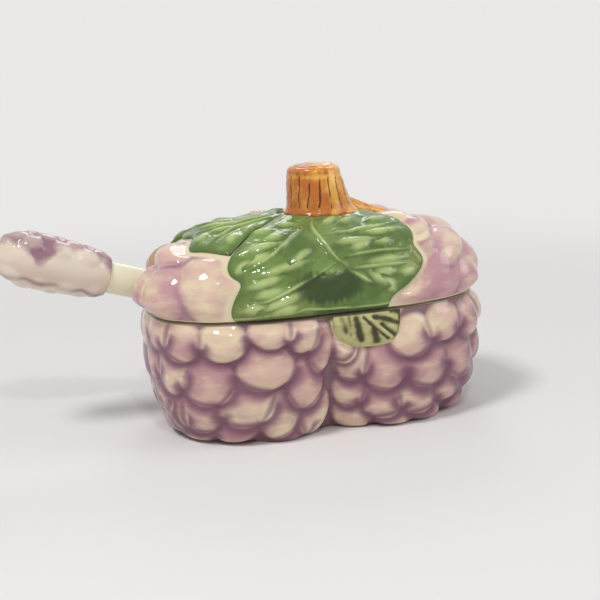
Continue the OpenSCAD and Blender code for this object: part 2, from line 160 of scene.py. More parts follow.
def dome_normal(angle, share):
    """The direction that points out of the dome."""
    share = np.clip(share, share_step, 1 - share_step)
    along = lid_dome(angle + angle_step, share) - lid_dome(angle - angle_step, share)
    up = lid_dome(angle, share + share_step) - lid_dome(angle, share - share_step)
    normal = np.cross(along, up)
    return normal / np.linalg.norm(normal, axis=-1, keepdims=True)


# A ring has more points on its long sides, so that they lie evenly
around = 480
even_spacing = 7.5
steps = np.arange(around) / around
turns = 360 * steps + even_spacing * np.sin(4 * np.pi * steps)
print("the dome is", round(float(dome_height(0.0) - lid_seat) / MM, 1), "mm high in the middle")

# %% [markdown]
# ## Skins
#
# Two functions turn points into closed meshes. A shell is a stack of rings, like clay on a wheel, closed in
# the middle of its first and last ring. A slab is a sheet of points with a second sheet under it. Both
# carry marks: a number for each point that a material can read later as an attribute.

# %% Shells and slabs
def new_piece(name, points, faces, marks):
    mesh = bpy.data.meshes.new(name)
    mesh.from_pydata(np.asarray(points).tolist(), [], faces)
    for mark, values in marks.items():
        values = np.asarray(values, np.float32)
        kind, field = ("FLOAT_VECTOR", "vector") if values.shape[1:] == (3,) else ("FLOAT", "value")
        mesh.attributes.new(mark, kind, "POINT").data.foreach_set(field, values.ravel())
    mesh.shade_smooth()
    piece = bpy.data.objects.new(name, mesh)
    bpy.context.scene.collection.objects.link(piece)
    return piece


def shell(name, rings, marks):
    """Closed skin over rings that run anticlockwise and go upwards on the outside."""
    rings = np.asarray(rings)
    rows, count = rings.shape[:2]
    here = np.arange(count)
    after = (here + 1) % count
    faces = []
    for row in range(rows - 1):
        low, high = row * count, (row + 1) * count
        faces += np.stack([low + here, low + after, high + after, high + here], 1).tolist()
    first, last = rows * count, rows * count + 1
    top = (rows - 1) * count
    faces += np.stack([after, here, np.full(count, first)], 1).tolist()
    faces += np.stack([top + here, top + after, np.full(count, last)], 1).tolist()
    points = np.vstack([rings.reshape(-1, 3), rings[0].mean(0), rings[-1].mean(0)])
    closed = {mark: np.append(np.asarray(values).ravel(), [np.mean(values[0]), np.mean(values[-1])])
              for mark, values in marks.items()}
    return new_piece(name, points, faces, closed)


def slab(name, under, over, marks):
    """Closed slab between two sheets of points; marks are given for the upper sheet."""
    rows, cols = over.shape[:2]
    count = rows * cols
    at = np.arange(count).reshape(rows, cols)
    top = np.stack([at[:-1, :-1], at[:-1, 1:], at[1:, 1:], at[1:, :-1]], -1).reshape(-1, 4)
    bottom = top[:, ::-1] + count
    border = np.concatenate([at[0, :-1], at[:-1, -1], at[-1, :0:-1], at[:0:-1, 0]])
    after = np.roll(border, -1)
    sides = np.stack([border, border + count, after + count, after], 1)
    points = np.vstack([over.reshape(-1, 3), under.reshape(-1, 3)])
    doubled = {mark: np.tile(np.asarray(values).ravel(), 2) for mark, values in marks.items()}
    doubled["top"] = np.repeat((1.0, 0.0), count)
    return new_piece(name, points, np.vstack([top, bottom, sides]).tolist(), doubled)


def sheet(rows, cols):
    """Shares from 0 to 1 along the rows of a sheet of points, and across them."""
    return np.meshgrid(np.linspace(0, 1, rows), np.linspace(0, 1, cols), indexing="ij")


def round_over(radius, degrees):
    """Steps round a quarter of an edge: how far each lies in from the side and down from the top."""
    turn = np.radians(degrees)
    return zip(radius * (1 - np.cos(turn)), radius * (1 - np.sin(turn)))


def describe(piece):
    shape = bmesh.new()
    shape.from_mesh(piece.data)
    volume = shape.calc_volume(signed=True) / MM ** 3 / 1000
    shape.free()
    print(f"{piece.name}: {len(piece.data.polygons)} faces, {volume:.2f} cm3")


# %% Make a modifier's result the piece's own mesh
def settle(piece):
    graph = bpy.context.evaluated_depsgraph_get()
    result = piece.evaluated_get(graph)
    mesh = bpy.data.meshes.new_from_object(result, preserve_all_data_layers=True, depsgraph=graph)
    piece.modifiers.clear()
    piece.data = mesh


def cut_out(piece, cutter, sharp_angle):
    """Cuts one shape out of a piece, with hard edges where the cut leaves them."""
    cut = piece.modifiers.new("cut", "BOOLEAN")
    cut.operation = "DIFFERENCE"
    cut.solver = "EXACT"
    cut.object = cutter
    settle(piece)
    bpy.data.objects.remove(cutter)
    piece.data.set_sharp_from_angle(angle=math.radians(sharp_angle))


def mark_where(piece, inside, marks):
    """Gives marks to the points for which inside(places) is true, such as the walls that a cut leaves."""
    places = np.array([vertex.co for vertex in piece.data.vertices])
    for index in np.flatnonzero(inside(places)):
        for mark, value in marks.items():
            piece.data.attributes[mark].data[index].value = value


# %% [markdown]
# ## Wires
#
# Node trees read best as sums. A wire holds one socket; adding or multiplying wires adds a Math node. Its
# node method adds any other node, with its settings set first. It serves both kinds of tree used here.

# %% A wire is a socket that can be used in a sum
class Wire:
    """One output socket of a node tree."""

    def __init__(self, tree, socket=None):
        self.tree = tree
        self.socket = socket

    def node(self, kind, settings=None, sockets=None, out=0):
        """Adds a node, with its settings first and then the values or links of its sockets."""
        made = self.tree.nodes.new(kind)
        for name, value in (settings or {}).items():
            setattr(made, name, value)
        for key, value in (sockets or {}).items():
            if isinstance(value, Wire):
                self.tree.links.new(value.socket, made.inputs[key])
            else:
                made.inputs[key].default_value = value
        return Wire(self.tree, made.outputs[out])

    def math(self, operation, *values):
        return self.node("ShaderNodeMath", {"operation": operation}, dict(enumerate(values)))

    def __add__(self, other):
        return self.math("ADD", self, other)

    def __sub__(self, other):
        return self.math("SUBTRACT", self, other)

    def __rsub__(self, other):
        return self.math("SUBTRACT", other, self)

    def __mul__(self, other):
        return self.math("MULTIPLY", self, other)

    def __truediv__(self, other):
        return self.math("DIVIDE", self, other)

    def __rtruediv__(self, other):
        return self.math("DIVIDE", other, self)

    __radd__ = __add__
    __rmul__ = __mul__


def smooth(wire, low, high):
    """0 below low, 1 above high, with a soft step between."""
    return wire.node("ShaderNodeMapRange", {"interpolation_type": "SMOOTHSTEP"}, {0: wire, 1: low, 2: high})


def geometry_tree(name, inputs):
    """A new tree with one skin in and out, and named inputs."""
    tree = bpy.data.node_groups.new(name, "GeometryNodeTree")
    tree.interface.new_socket("Skin", in_out="INPUT", socket_type="NodeSocketGeometry")
    for label, kind in inputs.items():
        tree.interface.new_socket(label, in_out="INPUT", socket_type="NodeSocket" + kind)
    tree.interface.new_socket("Skin", in_out="OUTPUT", socket_type="NodeSocketGeometry")
    group = tree.nodes.new("NodeGroupInput")
    return tree, Wire(tree), {label: Wire(tree, group.outputs[label]) for label in ["Skin", *inputs]}


def finish_tree(start, skin, marks, offset, finish):
    """Stores marks, moves the skin and gives it its glaze."""
    for mark, value in marks.items():
        skin = start.node("GeometryNodeStoreNamedAttribute", {"data_type": "FLOAT", "domain": "POINT"},
                          {0: skin, 2: mark, 3: value})
    skin = start.node("GeometryNodeSetPosition", None, {0: skin, 3: offset})
    skin = start.node("GeometryNodeRealizeInstances", None, {0: skin})
    skin = start.node("GeometryNodeSetMaterial", None, {0: skin, 2: finish})
    end = start.tree.nodes.new("NodeGroupOutput")
    start.tree.links.new(skin.socket, end.inputs["Skin"])
    print(start.tree.name, "has", len(start.tree.nodes), "nodes")


def run_tree(piece, tree, values):
    modifier = piece.modifiers.new(tree.name, "NODES")
    modifier.node_group = tree
    for item in tree.interface.items_tree:
        if item.in_out == "INPUT" and item.name in values:
            modifier[item.identifier] = values[item.name]
    settle(piece)


def read_mark(start, name, kind="FLOAT"):
    """A mark of the mesh, inside a Geometry Nodes tree."""
    return start.node("GeometryNodeInputNamedAttribute", {"data_type": kind}, {0: name})


def sample(start, cloud, value, index, kind="FLOAT"):
    return start.node("GeometryNodeSampleIndex", {"data_type": kind}, {0: cloud, 1: value, 2: index})


def nearest(start, cloud, place):
    """Index of the nearest point of a cloud, and the way from it."""
    index = start.node("GeometryNodeSampleNearest", {"domain": "POINT"}, {0: cloud, 1: place})
    spot = sample(start, cloud, place, index, "FLOAT_VECTOR")
    return index, vector_math(start, "SUBTRACT", place, spot)


def vector_math(start, operation, one, other, out=0):
    return start.node("ShaderNodeVectorMath", {"operation": operation}, {0: one, 1: other}, out=out)


def length(start, vector):
    return start.node("ShaderNodeVectorMath", {"operation": "LENGTH"}, {0: vector}, out=1)


def push(start, amount, direction):
    return start.node("ShaderNodeVectorMath", {"operation": "SCALE"}, {0: direction, "Scale": amount})


# %% [markdown]
# ## Grapes
#
# Each grape is half an egg that lies on the skin. Its lower end stands proud and its upper end slides under
# the grape above, like roof tiles; the skin takes the height of whichever egg is highest. A Geometry Nodes
# tree does this by rule for the grapes of the pot, the lid and the spoon. A point of the skin can lie under
# several eggs, so the grapes are dealt to teams whose members lie far apart, and the nearest grape of each
# team is asked in turn. The tree also notes how close a point is to the lower edge of a grape above it,
# because that is where the painter's purple wash collects.

# %% The tree that raises grapes out of a skin
TEAMS = 7
EGG_LIMIT = 14 * MM
FAR_OFF = 9.0
# Where the skin of a grape ends, as shares of its reach, and where its lower edge ends, of its height
EDGE_BAND = (0.82, 0.93)
LOWER_EDGE = (-0.3, 0.8)


def relief_tree():
    tree, start, given = geometry_tree("grape_relief", {
        "Bunch": "Object", "Rise": "Float", "Lap": "Float", "Upright": "Float", "Softness": "Int",
        "Glaze": "Material"})
    grapes = start.node("GeometryNodeObjectInfo", {"transform_space": "ORIGINAL"}, {0: given["Bunch"]}, out=4)
    place = start.node("GeometryNodeInputPosition")
    team, tone = read_mark(start, "team"), read_mark(start, "tone")
    side_way, up_way = (read_mark(start, name, "FLOAT_VECTOR") for name in ("side_way", "up_way"))
    best = second = best_tone = 0.0
    under = FAR_OFF
    for number in range(TEAMS):
        member = start.math("COMPARE", team, float(number), 0.5)
        mates = start.node("GeometryNodeSeparateGeometry", {"domain": "POINT"}, {0: grapes, 1: member})
        index, away = nearest(start, mates, place)
        ways = [sample(start, mates, way, index, "FLOAT_VECTOR") for way in (side_way, up_way)]
        across, up = (vector_math(start, "DOT_PRODUCT", away, way, out=1) for way in ways)
        reach = start.math("SQRT", across * across + up * up)
        reach = start.math("MAXIMUM", reach, length(start, away) / EGG_LIMIT)
        egg = start.math("SQRT", start.math("MAXIMUM", 1 - reach * reach, 0.0))
        height = egg * (1 - given["Lap"] * smooth(up, -1.0, 1.0))
        wins = start.math("GREATER_THAN", height, best)
        best_tone = best_tone + (sample(start, mates, tone, index) - best_tone) * wins
        second = start.math("MAXIMUM", second, start.math("MINIMUM", best, height))
        best = start.math("MAXIMUM", best, height)
        outside = reach - 1 + 2 * (1 - smooth(reach, *EDGE_BAND))
        under = start.math("MINIMUM", under, outside + smooth(up, *LOWER_EDGE))

    swell, step, under = (
        start.node("GeometryNodeBlurAttribute", {"data_type": "FLOAT"}, {0: value, 1: given["Softness"]})
        for value in (best * read_mark(start, "room"), best - second, under))
    level = start.node("ShaderNodeCombineXYZ", None, {0: 1.0, 1: 1.0, 2: given["Upright"]})
    out = vector_math(start, "MULTIPLY", start.node("GeometryNodeInputNormal"), level)
    out = start.node("ShaderNodeVectorMath", {"operation": "NORMALIZE"}, {0: out})
    finish_tree(start, given["Skin"], {"swell": best, "step": step, "under": under, "tone": best_tone},
                push(start, swell * given["Rise"], out), given["Glaze"])
    return tree


grape_relief = relief_tree()


# %% Raise a bunch out of a skin
def seat_grapes(surface, grapes, step):
    """Middles of grapes on a surface, with the ways in which they reach sideways and upwards."""
    seats = []
    for angle, height, wide, tall in grapes:
        side = surface(angle + angle_step, height) - surface(angle - angle_step, height)
        up = surface(angle, height + step) - surface(angle, height - step)
        side_way = side / np.linalg.norm(side) / wide / MM
        up_way = up / np.linalg.norm(up) / tall / MM
        seats.append((surface(angle, height), side_way, up_way))
    return np.array(seats)


def deal_teams(middles):
    """Gives each grape to the team whose members are farthest from it."""
    teams = []
    for middle in middles:
        gaps = []
        for team in range(TEAMS):
            mates = [np.linalg.norm(middle - m) for m, t in zip(middles, teams) if t == team]
            gaps.append(min(mates, default=math.inf))
        teams.append(int(np.argmax(gaps)))
    return teams


def raise_grapes(piece, seats, rise, lap, upright, softness, finish):
    middles, side_ways, up_ways = np.moveaxis(seats, 1, 0)
    tones = np.random.default_rng(len(seats)).random(len(seats))
    bunch = new_piece("bunch", middles, [], {
        "tone": tones, "team": deal_teams(middles), "side_way": side_ways, "up_way": up_ways})
    run_tree(piece, grape_relief, {
        "Bunch": bunch, "Rise": rise, "Lap": lap, "Upright": upright, "Softness": softness, "Glaze": finish})
    bpy.data.objects.remove(bunch)
    print(piece.name, "has", len(seats), "grapes")


# %% [markdown]
# ## Glazes
#
# All finishes are one clear, glossy glaze over brushed colour, so one function makes the shiny coat and
# each finish only paints the colour under it. Colours are linear values. Brush marks come from noise that
# is stretched along the stroke, read in Object coordinates.

# %% The clear glaze that all finishes share
def rgba(*colour):
    return (*colour, 1.0)


def paint(amount, under, over):
    """Colour over another colour by an amount."""
    return amount.node("ShaderNodeMix", {"data_type": "RGBA"}, {0: amount, 6: under, 7: over}, out=2)


def marks_of(start, *names):
    return [start.node("ShaderNodeAttribute", {"attribute_name": name}, None, out=2) for name in names]


def object_place(start):
    return start.node("ShaderNodeTexCoord", None, None, out=3)


def cloudy(start, scale, stretch=(1, 1, 1), detail=3.0):
    """Soft noise in Object coordinates; scale is in features per metre."""
    drawn = start.node("ShaderNodeMapping", None, {0: object_place(start), 3: stretch})
    return start.node("ShaderNodeTexNoise", None, {0: drawn, 2: scale, 3: detail, 4: 0.55})


GLAZE_COAT = {"IOR": 1.5, "Specular IOR Level": 0.06, "Coat Weight": 0.8, "Coat Roughness": 0.04}
COAT_WAVE = 0.12 * MM


def glaze(name, colour_of):
    """A glossy, slightly uneven glaze over a painted colour."""
    material = bpy.data.materials.new(name)
    material.use_nodes = True
    tree = material.node_tree
    body = tree.nodes["Principled BSDF"]
    start = Wire(tree)
    for socket, value in GLAZE_COAT.items():
        body.inputs[socket].default_value = value
    tree.links.new(colour_of(start).socket, body.inputs["Base Color"])
    roughness = 0.25 + 0.15 * cloudy(start, 90)
    tree.links.new(roughness.socket, body.inputs["Roughness"])
    ripple = start.node("ShaderNodeBump", None, {0: 0.6, 1: COAT_WAVE, 3: cloudy(start, 130, detail=2.0)})
    tree.links.new(ripple.socket, body.inputs["Normal"])
    print(name, "has", len(tree.nodes), "nodes")
    return material


# %% Cream glaze with lilac brushed into the grooves
CREAM = rgba(0.82, 0.70, 0.47)
PINK = rgba(0.68, 0.43, 0.37)
LILAC = rgba(0.40, 0.19, 0.225)
ROSE = rgba(0.52, 0.27, 0.31)
PLUM = rgba(0.16, 0.055, 0.105)
SMEAR = rgba(0.10, 0.10, 0.03)
# Painted shadow: a dark brown line along the top of the pot's wall, where the gap under the lid lies in shade
SEAM_SHADOW_BROWN = rgba(0.07, 0.04, 0.025)


def grape_colour(body_pink, wash, wash_strength, wash_reach, plum_strength, plum_reach):
    """Reaches are shares of a grape's size, from the lower edge of the grape above."""
    def colour(start):
        swell, step, under, tone = marks_of(start, "swell", "step", "under", "tone")
        room, leafy, seam = marks_of(start, "room", "leafy", "seam")
        strokes = cloudy(start, 130, stretch=(1, 1, 2.4), detail=4.0)
        patches = cloudy(start, 42, detail=2.0)
        painted = smooth(room, 0.0, 0.3)
        blush = smooth(strokes + patches * 0.7 + tone * 0.35, 0.62, 1.25) * body_pink * painted
        body = paint(blush, CREAM, PINK)
        brushed = under - (strokes - 0.5) * 0.9 - (tone - 0.5) * 0.4
        washed = paint((1 - smooth(brushed, 0.0, wash_reach)) * painted * wash_strength, body, wash)
        groove = start.math("MINIMUM", start.math("MINIMUM", under, step), swell)
        plum = (1 - smooth(groove - (patches - 0.5) * 0.3, 0.0, plum_reach)) * painted * plum_strength
        deep = paint(plum, washed, PLUM)
        green = paint(smooth(leafy + strokes * 0.4, 0.5, 0.9), deep, SMEAR)
        # painted shadow along the top of the pot's wall, under the lid
        return paint(seam, green, SEAM_SHADOW_BROWN)
    return colour


pot_glaze = glaze("pot_grape_glaze", grape_colour(
    body_pink=0.85, wash=LILAC, wash_strength=0.85, wash_reach=0.8, plum_strength=0.85, plum_reach=0.4))
lid_glaze = glaze("lid_grape_glaze", grape_colour(
    body_pink=0.95, wash=ROSE, wash_strength=0.88, wash_reach=0.9, plum_strength=0.5, plum_reach=0.16))

# %% [markdown]
# ## The pot
#
# The pot is one shell: from the middle of the foot outwards, up the outside, over the rounded rim and
# down into the hollow. The grapes need room: they die out at the plain band under the rim and round
# the small leaf. The lists give where each grape of the front sits. The back has the same bunches, turned
# half round, and two more grapes where the front has the small leaf.

# %% Where the grapes of the pot sit: angle, height, half width and half height in millimetres
left_bunch = [
    (176, 37, 8, 7), (198, 38.5, 8, 7), (215, 36.5, 8.5, 7.5), (231, 37, 8.5, 7.5), (246, 39.5, 8, 6.5),
    (256, 38, 6, 7.5), (167, 27, 8.5, 8), (189, 28, 8, 9), (208, 26.5, 7.5, 10), (225, 23, 9.5, 9),
    (244, 27, 10, 8), (262, 32, 5, 9.5), (257, 20.5, 7.5, 10), (178, 15, 9, 8), (195, 16, 7.5, 9),
    (205, 11, 6.5, 8.5), (219, 11.5, 9, 8), (237, 15.5, 10, 9.5), (247, 10, 7, 9.5), (260, 8.5, 7, 9.5),
    (190, 4, 9, 5.5), (211, 3, 9, 5.5), (232, 5.5, 8, 6), (248, 1, 8, 5),
]
right_bunch = [
    (294, 32.5, 8.5, 8), (306, 35.5, 8.5, 7.5), (321, 34.5, 8.5, 7.5), (336, 37, 8.5, 7.5),
    (271, 32, 5, 7.5), (274, 25.5, 6.5, 8), (285, 22.5, 8.5, 9), (300, 22, 9, 9.5), (316, 22.5, 9, 10),
    (331, 24.5, 8.5, 9), (345, 26, 8.5, 9), (274, 15, 6.5, 7.5), (285, 10.5, 8, 7.5), (298, 10.5, 8.5, 7.5),
    (311, 12.5, 7.5, 7.5), (322, 14, 7, 7.5), (336, 13, 9, 8), (276, 5, 7, 7), (291, 3.5, 7.5, 5),
    (304, 3.5, 8.5, 5), (327, 4, 9, 6), (348, 3, 9, 6),
]
front_grapes = left_bunch + right_bunch
back_grapes = [(angle + 180, *rest) for angle, *rest in front_grapes]
back_grapes += [(92, 37.5, 7, 7), (104, 39, 7.5, 6.5)]
pot_bunch = [(angle, z * MM, wide, tall) for angle, z, wide, tall in front_grapes + back_grapes]
pot_seats = seat_grapes(pot_wall, pot_bunch, step=0.5 * MM)
print(len(pot_seats), "grapes to raise on the pot")

# %% Where the small leaf under the rim lies
pot_leaf_offset = 8 * MM
pot_leaf_half_width = 11.8 * MM
pot_leaf_drop = 12 * MM
left_squareness, right_squareness = 2.2, 4.0
pot_leaf_clear = (1.0, 1.3)


def pot_leaf_power(across):
    """The right side of the small leaf is squarer than its left side."""
    return np.where(across > 0, right_squareness, left_squareness)


def pot_leaf_reach(x, z):
    """1 on the edge of the small leaf and less inside it."""
    across, down = (x - pot_leaf_offset) / pot_leaf_half_width, (pot_height - z) / pot_leaf_drop
    power = pot_leaf_power(across)
    return (np.abs(across) ** power + np.abs(down) ** power) ** (1 / power)


# %% The shell of the pot
rim_round = 0.8 * MM
smear_x, smear_half_width, smear_drop = -5 * MM, 2.5 * MM, 3 * MM
# A band of painted shadow along the top of the pot's wall: where it starts and is full below the rim, and how
# dark
seam_start, seam_full, seam_strength = 1.1 * MM, 0.7 * MM, 0.85


def fuller_ends(x, left, right, start, full):
    """1 in the middle; left and right are added towards the two ends."""
    return 1 + left * ease(-x, start, full) + right * ease(x, start, full)


def build_pot():
    rings = [pot_wall(turns, 0.0) * (s, s, 1) for s in (0.02, 0.3, 0.6, 0.85)]
    foot_ring = len(rings)
    rings.append(pot_wall(turns, 0.0, rim_round))
    rings += [pot_wall(turns, z) for z in np.linspace(rim_round / 2, pot_height - rim_round, 112)]
    rim_ring = len(rings) - 1
    for inset, drop in round_over(rim_round, (30, 60, 90)):
        rings.append(pot_wall(turns, pot_height - drop, inset))
    for inset, drop in round_over(rim_round, (90, 60, 30)):
        rings.append(pot_wall(turns, pot_height - drop, pot_wall_thickness - inset))
    for z in np.linspace(pot_height - rim_round, floor_thickness + floor_corner, 14):
        rings.append(pot_wall(turns, z, pot_wall_thickness))
    for inset, lift in round_over(floor_corner, (22, 45, 68, 90)):
        rings.append(pot_wall(turns, floor_thickness + lift, pot_wall_thickness + inset))
    rings += [rings[-1] * (s, s, 1) for s in (0.8, 0.5, 0.25, 0.02)]
    rings = np.array(rings)
    outside, outer = (np.zeros(rings.shape[:2]) for _ in range(2))
    outside[foot_ring:rim_ring + 1] = 1
    outer[foot_ring:rim_ring + 3] = 1
    x, y, z = np.moveaxis(rings, -1, 0)
    at_front = y < 0
    clear = np.where(at_front, ease(pot_leaf_reach(x, z), *pot_leaf_clear), 1)
    under_band = np.clip((pot_height - z) / plain_band, 0, 1)
    fullness = fuller_ends(x, left=-0.5, right=0.3, start=35 * MM, full=60 * MM)
    smear = bump(x, smear_x, smear_half_width) * bump(z, pot_height, smear_drop)
    # painted shadow where the lid meets the pot
    seam = ease(z, pot_height - seam_start, pot_height - seam_full) * seam_strength
    piece = shell("grape_pot", rings, {
        "room": outside * under_band * clear * fullness, "leafy": outside * at_front * smear,
        "seam": outer * seam})
    raise_grapes(piece, pot_seats, rise=4.2 * MM, lap=0.5, upright=0.0, softness=3, finish=pot_glaze)
    describe(piece)
    return piece


grape_pot = build_pot()

# %% [markdown]
# ## The lid
#
# The lid is the same kind of shell, with fewer and softer grapes, a hollow inside and a flange that keeps
# it on the pot. The grapes die out under the leaves, so that the leaves lie flat. The bay for the spoon's
# stem is cut out afterwards, straight up through the end of the lid.

# %% Where the grapes and the leaves of the lid lie
lid_bunch = [
    (180, 0.17, 9, 9.5), (203, 0.22, 9.5, 12), (227, 0.28, 11, 13), (188, 0.5, 11, 6.5),
    (295, 0.15, 9, 7.5), (308, 0.24, 8, 10), (323, 0.18, 8, 9), (306, 0.53, 6.5, 6.5), (323, 0.48, 12, 6.5),
    (338, 0.3, 11, 8), (322, 0.72, 11, 6), (352, 0.28, 10, 9), (12, 0.2, 10, 9), (352, 0.6, 11, 8),
    (14, 0.52, 11, 8), (32, 0.3, 11, 9), (50, 0.22, 11, 9), (68, 0.34, 10, 10), (86, 0.22, 10, 10),
    (104, 0.34, 10, 10), (122, 0.22, 11, 9), (140, 0.32, 10, 9), (40, 0.62, 11, 8), (74, 0.66, 11, 8),
    (106, 0.66, 11, 8), (336, 0.84, 8, 6), (30, 0.82, 8, 6), (56, 0.84, 9, 6), (88, 0.86, 11, 6),
    (120, 0.84, 10, 6),
]
lid_seats = seat_grapes(lid_dome, lid_bunch, step=0.01)
print(len(lid_seats), "grapes to raise on the lid")


def rounded(corners):
    """A broken line with its corners cut off, three times over."""
    line = np.array(corners, float)
    for _ in range(3):
        cuts = np.stack([mix(line[:-1], line[1:], 0.25), mix(line[:-1], line[1:], 0.75)], 1).reshape(-1, 2)
        line = np.vstack([line[:1], cuts, line[-1:]])
    return line


# Edges of the front leaf as (share, angle), and of the side leaf as (angle, share)
front_left = rounded([(0, 236), (0.07, 234), (0.2, 235), (0.32, 237), (0.38, 231), (0.48, 228), (0.7, 225),
                      (0.86, 215), (0.985, 196)])
front_right = rounded([(0, 285), (0.12, 287), (0.2, 294), (0.36, 302), (0.5, 301), (0.54, 302), (0.62, 307),
                       (0.77, 316), (0.86, 328), (0.985, 338)])
side_edge = rounded([(128, 0.66), (134, 0.52), (141, 0.44), (146, 0.46), (150, 0.6), (160, 0.6), (168, 0.62),
                     (178, 0.66), (192, 0.6), (200, 0.55), (212, 0.58), (226, 0.55)])
leaf_foot, leaf_top = 0.015, 0.985
leaf_thickness = 1.3 * MM
side_back, side_front = 128, 226
clear_degrees, clear_shares = (0.5, 7), (0.02, 0.1)
green_degrees, green_shares = (-1, 0.5), (-0.03, 0)


def off_leaf(angle, share):
    """How far a place on the dome lies off the front leaf in degrees, and off the side leaf as a share."""
    off_front = np.maximum(np.interp(share, *front_left.T) - angle, angle - np.interp(share, *front_right.T))
    beside = np.maximum(side_back - angle, angle - side_front) / 90
    return off_front, np.maximum(beside, np.interp(angle, *side_edge.T) - share)


def leaf_clear(angle, share):
    """0 under a leaf and 1 well clear of both leaves."""
    off_front, off_side = off_leaf(angle, share)
    return ease(off_front, *clear_degrees) * ease(off_side, *clear_shares)


# %% The shell of the lid
lid_edge = 0.7 * MM
hollow_top, hollow_foot = 0.96, 0.12
edge_share, edge_inset = 0.01, 0.997
dome_foot, dome_top = 0.022, 0.985
knob_fade = 0.2


def level_oval(half, z):
    x, y = oval(turns, half, plan_power)
    return np.stack([x, y, np.full(around, z)], -1)


def build_lid():
    rings = []
    for share in np.linspace(hollow_top, hollow_foot, 16):
        spread = 1 - share ** row_power
        rise = (1 - spread ** side_power) ** shoulder_power
        rings.append(level_oval((lid_half - lid_wall) * spread, lid_seat + (lid_height - lid_wall) * rise))
    for inset, z in ((flange_thickness, lid_seat), (flange_thickness, flange_z + lid_edge),
                     (flange_thickness - lid_edge, flange_z), (lid_edge, flange_z),
                     (0, flange_z + lid_edge), (0, lid_seat)):
        rings.append(level_oval(flange_half - inset, z))
    rings.append(level_oval(lid_half - lid_edge, lid_seat))
    rings.append(lid_dome(turns, edge_share) * (edge_inset, edge_inset, 1))
    outside = len(rings)
    shares = np.linspace(dome_foot, dome_top, 118)
    rings += [lid_dome(turns, share) for share in shares]
    pad = rings[-1].mean(0)
    rings += [pad + (rings[-1] - pad) * s for s in (0.7, 0.4, 0.05)]
    rings = np.array(rings)
    room, leafy = (np.zeros(rings.shape[:2]) for _ in range(2))
    angle = turns % 360
    for row, share in enumerate(shares, outside):
        over_seat = rings[row][:, 2] - lid_seat
        fade = np.clip(over_seat / plain_band, 0, 1) * np.clip((1 - share) / knob_fade, 0, 1)
        fullness = fuller_ends(rings[row][:, 0], left=0.9, right=0.5, start=40 * MM, full=58 * MM)
        room[row] = fade * leaf_clear(angle, share) * fullness
        off_front, off_side = off_leaf(angle, share)
        leafy[row] = 1 - ease(off_front, *green_degrees) * ease(off_side, *green_shares)
    leafy[outside - 2:outside] = leafy[outside]
    piece = shell("grape_lid", rings, {"room": room, "leafy": leafy, "seam": 0 * room})
    raise_grapes(piece, lid_seats, rise=3.2 * MM, lap=0.35, upright=1.0, softness=6, finish=lid_glaze)
    return piece


grape_lid = build_lid()

# %% The bay for the spoon's stem
spoon_slope = math.radians(18)
spoon_y = 9 * MM
stem_radius = 5.5 * MM
stem_gap = 0.3 * MM
inner_rim = rim_half - pot_wall_thickness
rest_x = -inner_rim[0] * (1 - (spoon_y / inner_rim[1]) ** plan_power) ** (1 / plan_power)
rest_z = pot_height + stem_gap + stem_radius / math.cos(spoon_slope)

bay_gap, bay_length, hair = 2.3 * MM, 14 * MM, 0.01 * MM
bay_half = stem_radius + bay_gap
bay_end = -lid_half[0] + bay_length


def notch_cutter():
    corner, beyond = 2.5 * MM, 10 * MM
    outer = -lid_half[0] - beyond
    outline = [(outer, -bay_half)]
    for turn in np.radians(np.linspace(-90, 90, 14)):
        side = math.copysign(bay_half - corner, turn)
        outline.append((bay_end - corner + corner * math.cos(turn), side + corner * math.sin(turn)))
    outline.append((outer, bay_half))
    rings = [[(x, spoon_y + y, z) for x, y in outline] for z in (flange_z - MM, knob_low.z - MM)]
    return shell("notch_cutter", rings, {})


def in_bay(places):
    return (places[:, 0] < bay_end + hair) & (np.abs(places[:, 1] - spoon_y) < bay_half + hair)


cut_out(grape_lid, notch_cutter(), sharp_angle=40)
mark_where(grape_lid, in_bay, {"room": 0.2, "swell": 1.0, "step": 1.0, "under": 1.0, "tone": 0.4,
                               "leafy": 0.0, "seam": 0.0})
describe(grape_lid)

# %% [markdown]
# ## Vine leaves
#
# Each leaf is a thin slab draped on the dome. What makes it a vine leaf is its relief: ribs fan out from
# the stalk, and the flesh between them swells into soft puffs. Both are lines on the dome, listed one by
# one because the modeller pressed them in by hand. A Geometry Nodes tree finds the nearest rib and the
# nearest puff and raises the leaf by them; the glaze runs off the ridges and pools in the hollows, so the
# same relief drives the colour.

# %% Ribs and puffs as lines on the dome, as angle and share
ridge_step = 0.4 * MM
ridge_ends = (0.3, 2.95)


def resample(line, step):
    """A line of (angle, share) points with an even step in metres."""
    line = np.asarray(line, float)
    lengths = np.linalg.norm(np.diff(lid_dome(line[:, 0], line[:, 1]), axis=0), axis=1)
    run = np.append(0, np.cumsum(lengths))
    at = np.linspace(0, run[-1], max(4, int(run[-1] / step)))
    return np.stack([np.interp(at, run, line[:, 0]), np.interp(at, run, line[:, 1])], 1)


def ridge_cloud(name, lines):
    """Points along ridges on the top of a leaf; a ridge thins out towards both ends."""
    places, strength = [], []
    for line in lines:
        angle, share = resample(rounded(line), ridge_step).T
        share = np.clip(share, 0.001, 0.999)
        places.append(lid_dome(angle, share) + dome_normal(angle, share) * (slip_gap + leaf_thickness))
        strength.append(np.sin(np.linspace(*ridge_ends, len(angle))))
    return new_piece(name, np.vstack(places), [], {"strength": np.concatenate(strength)})


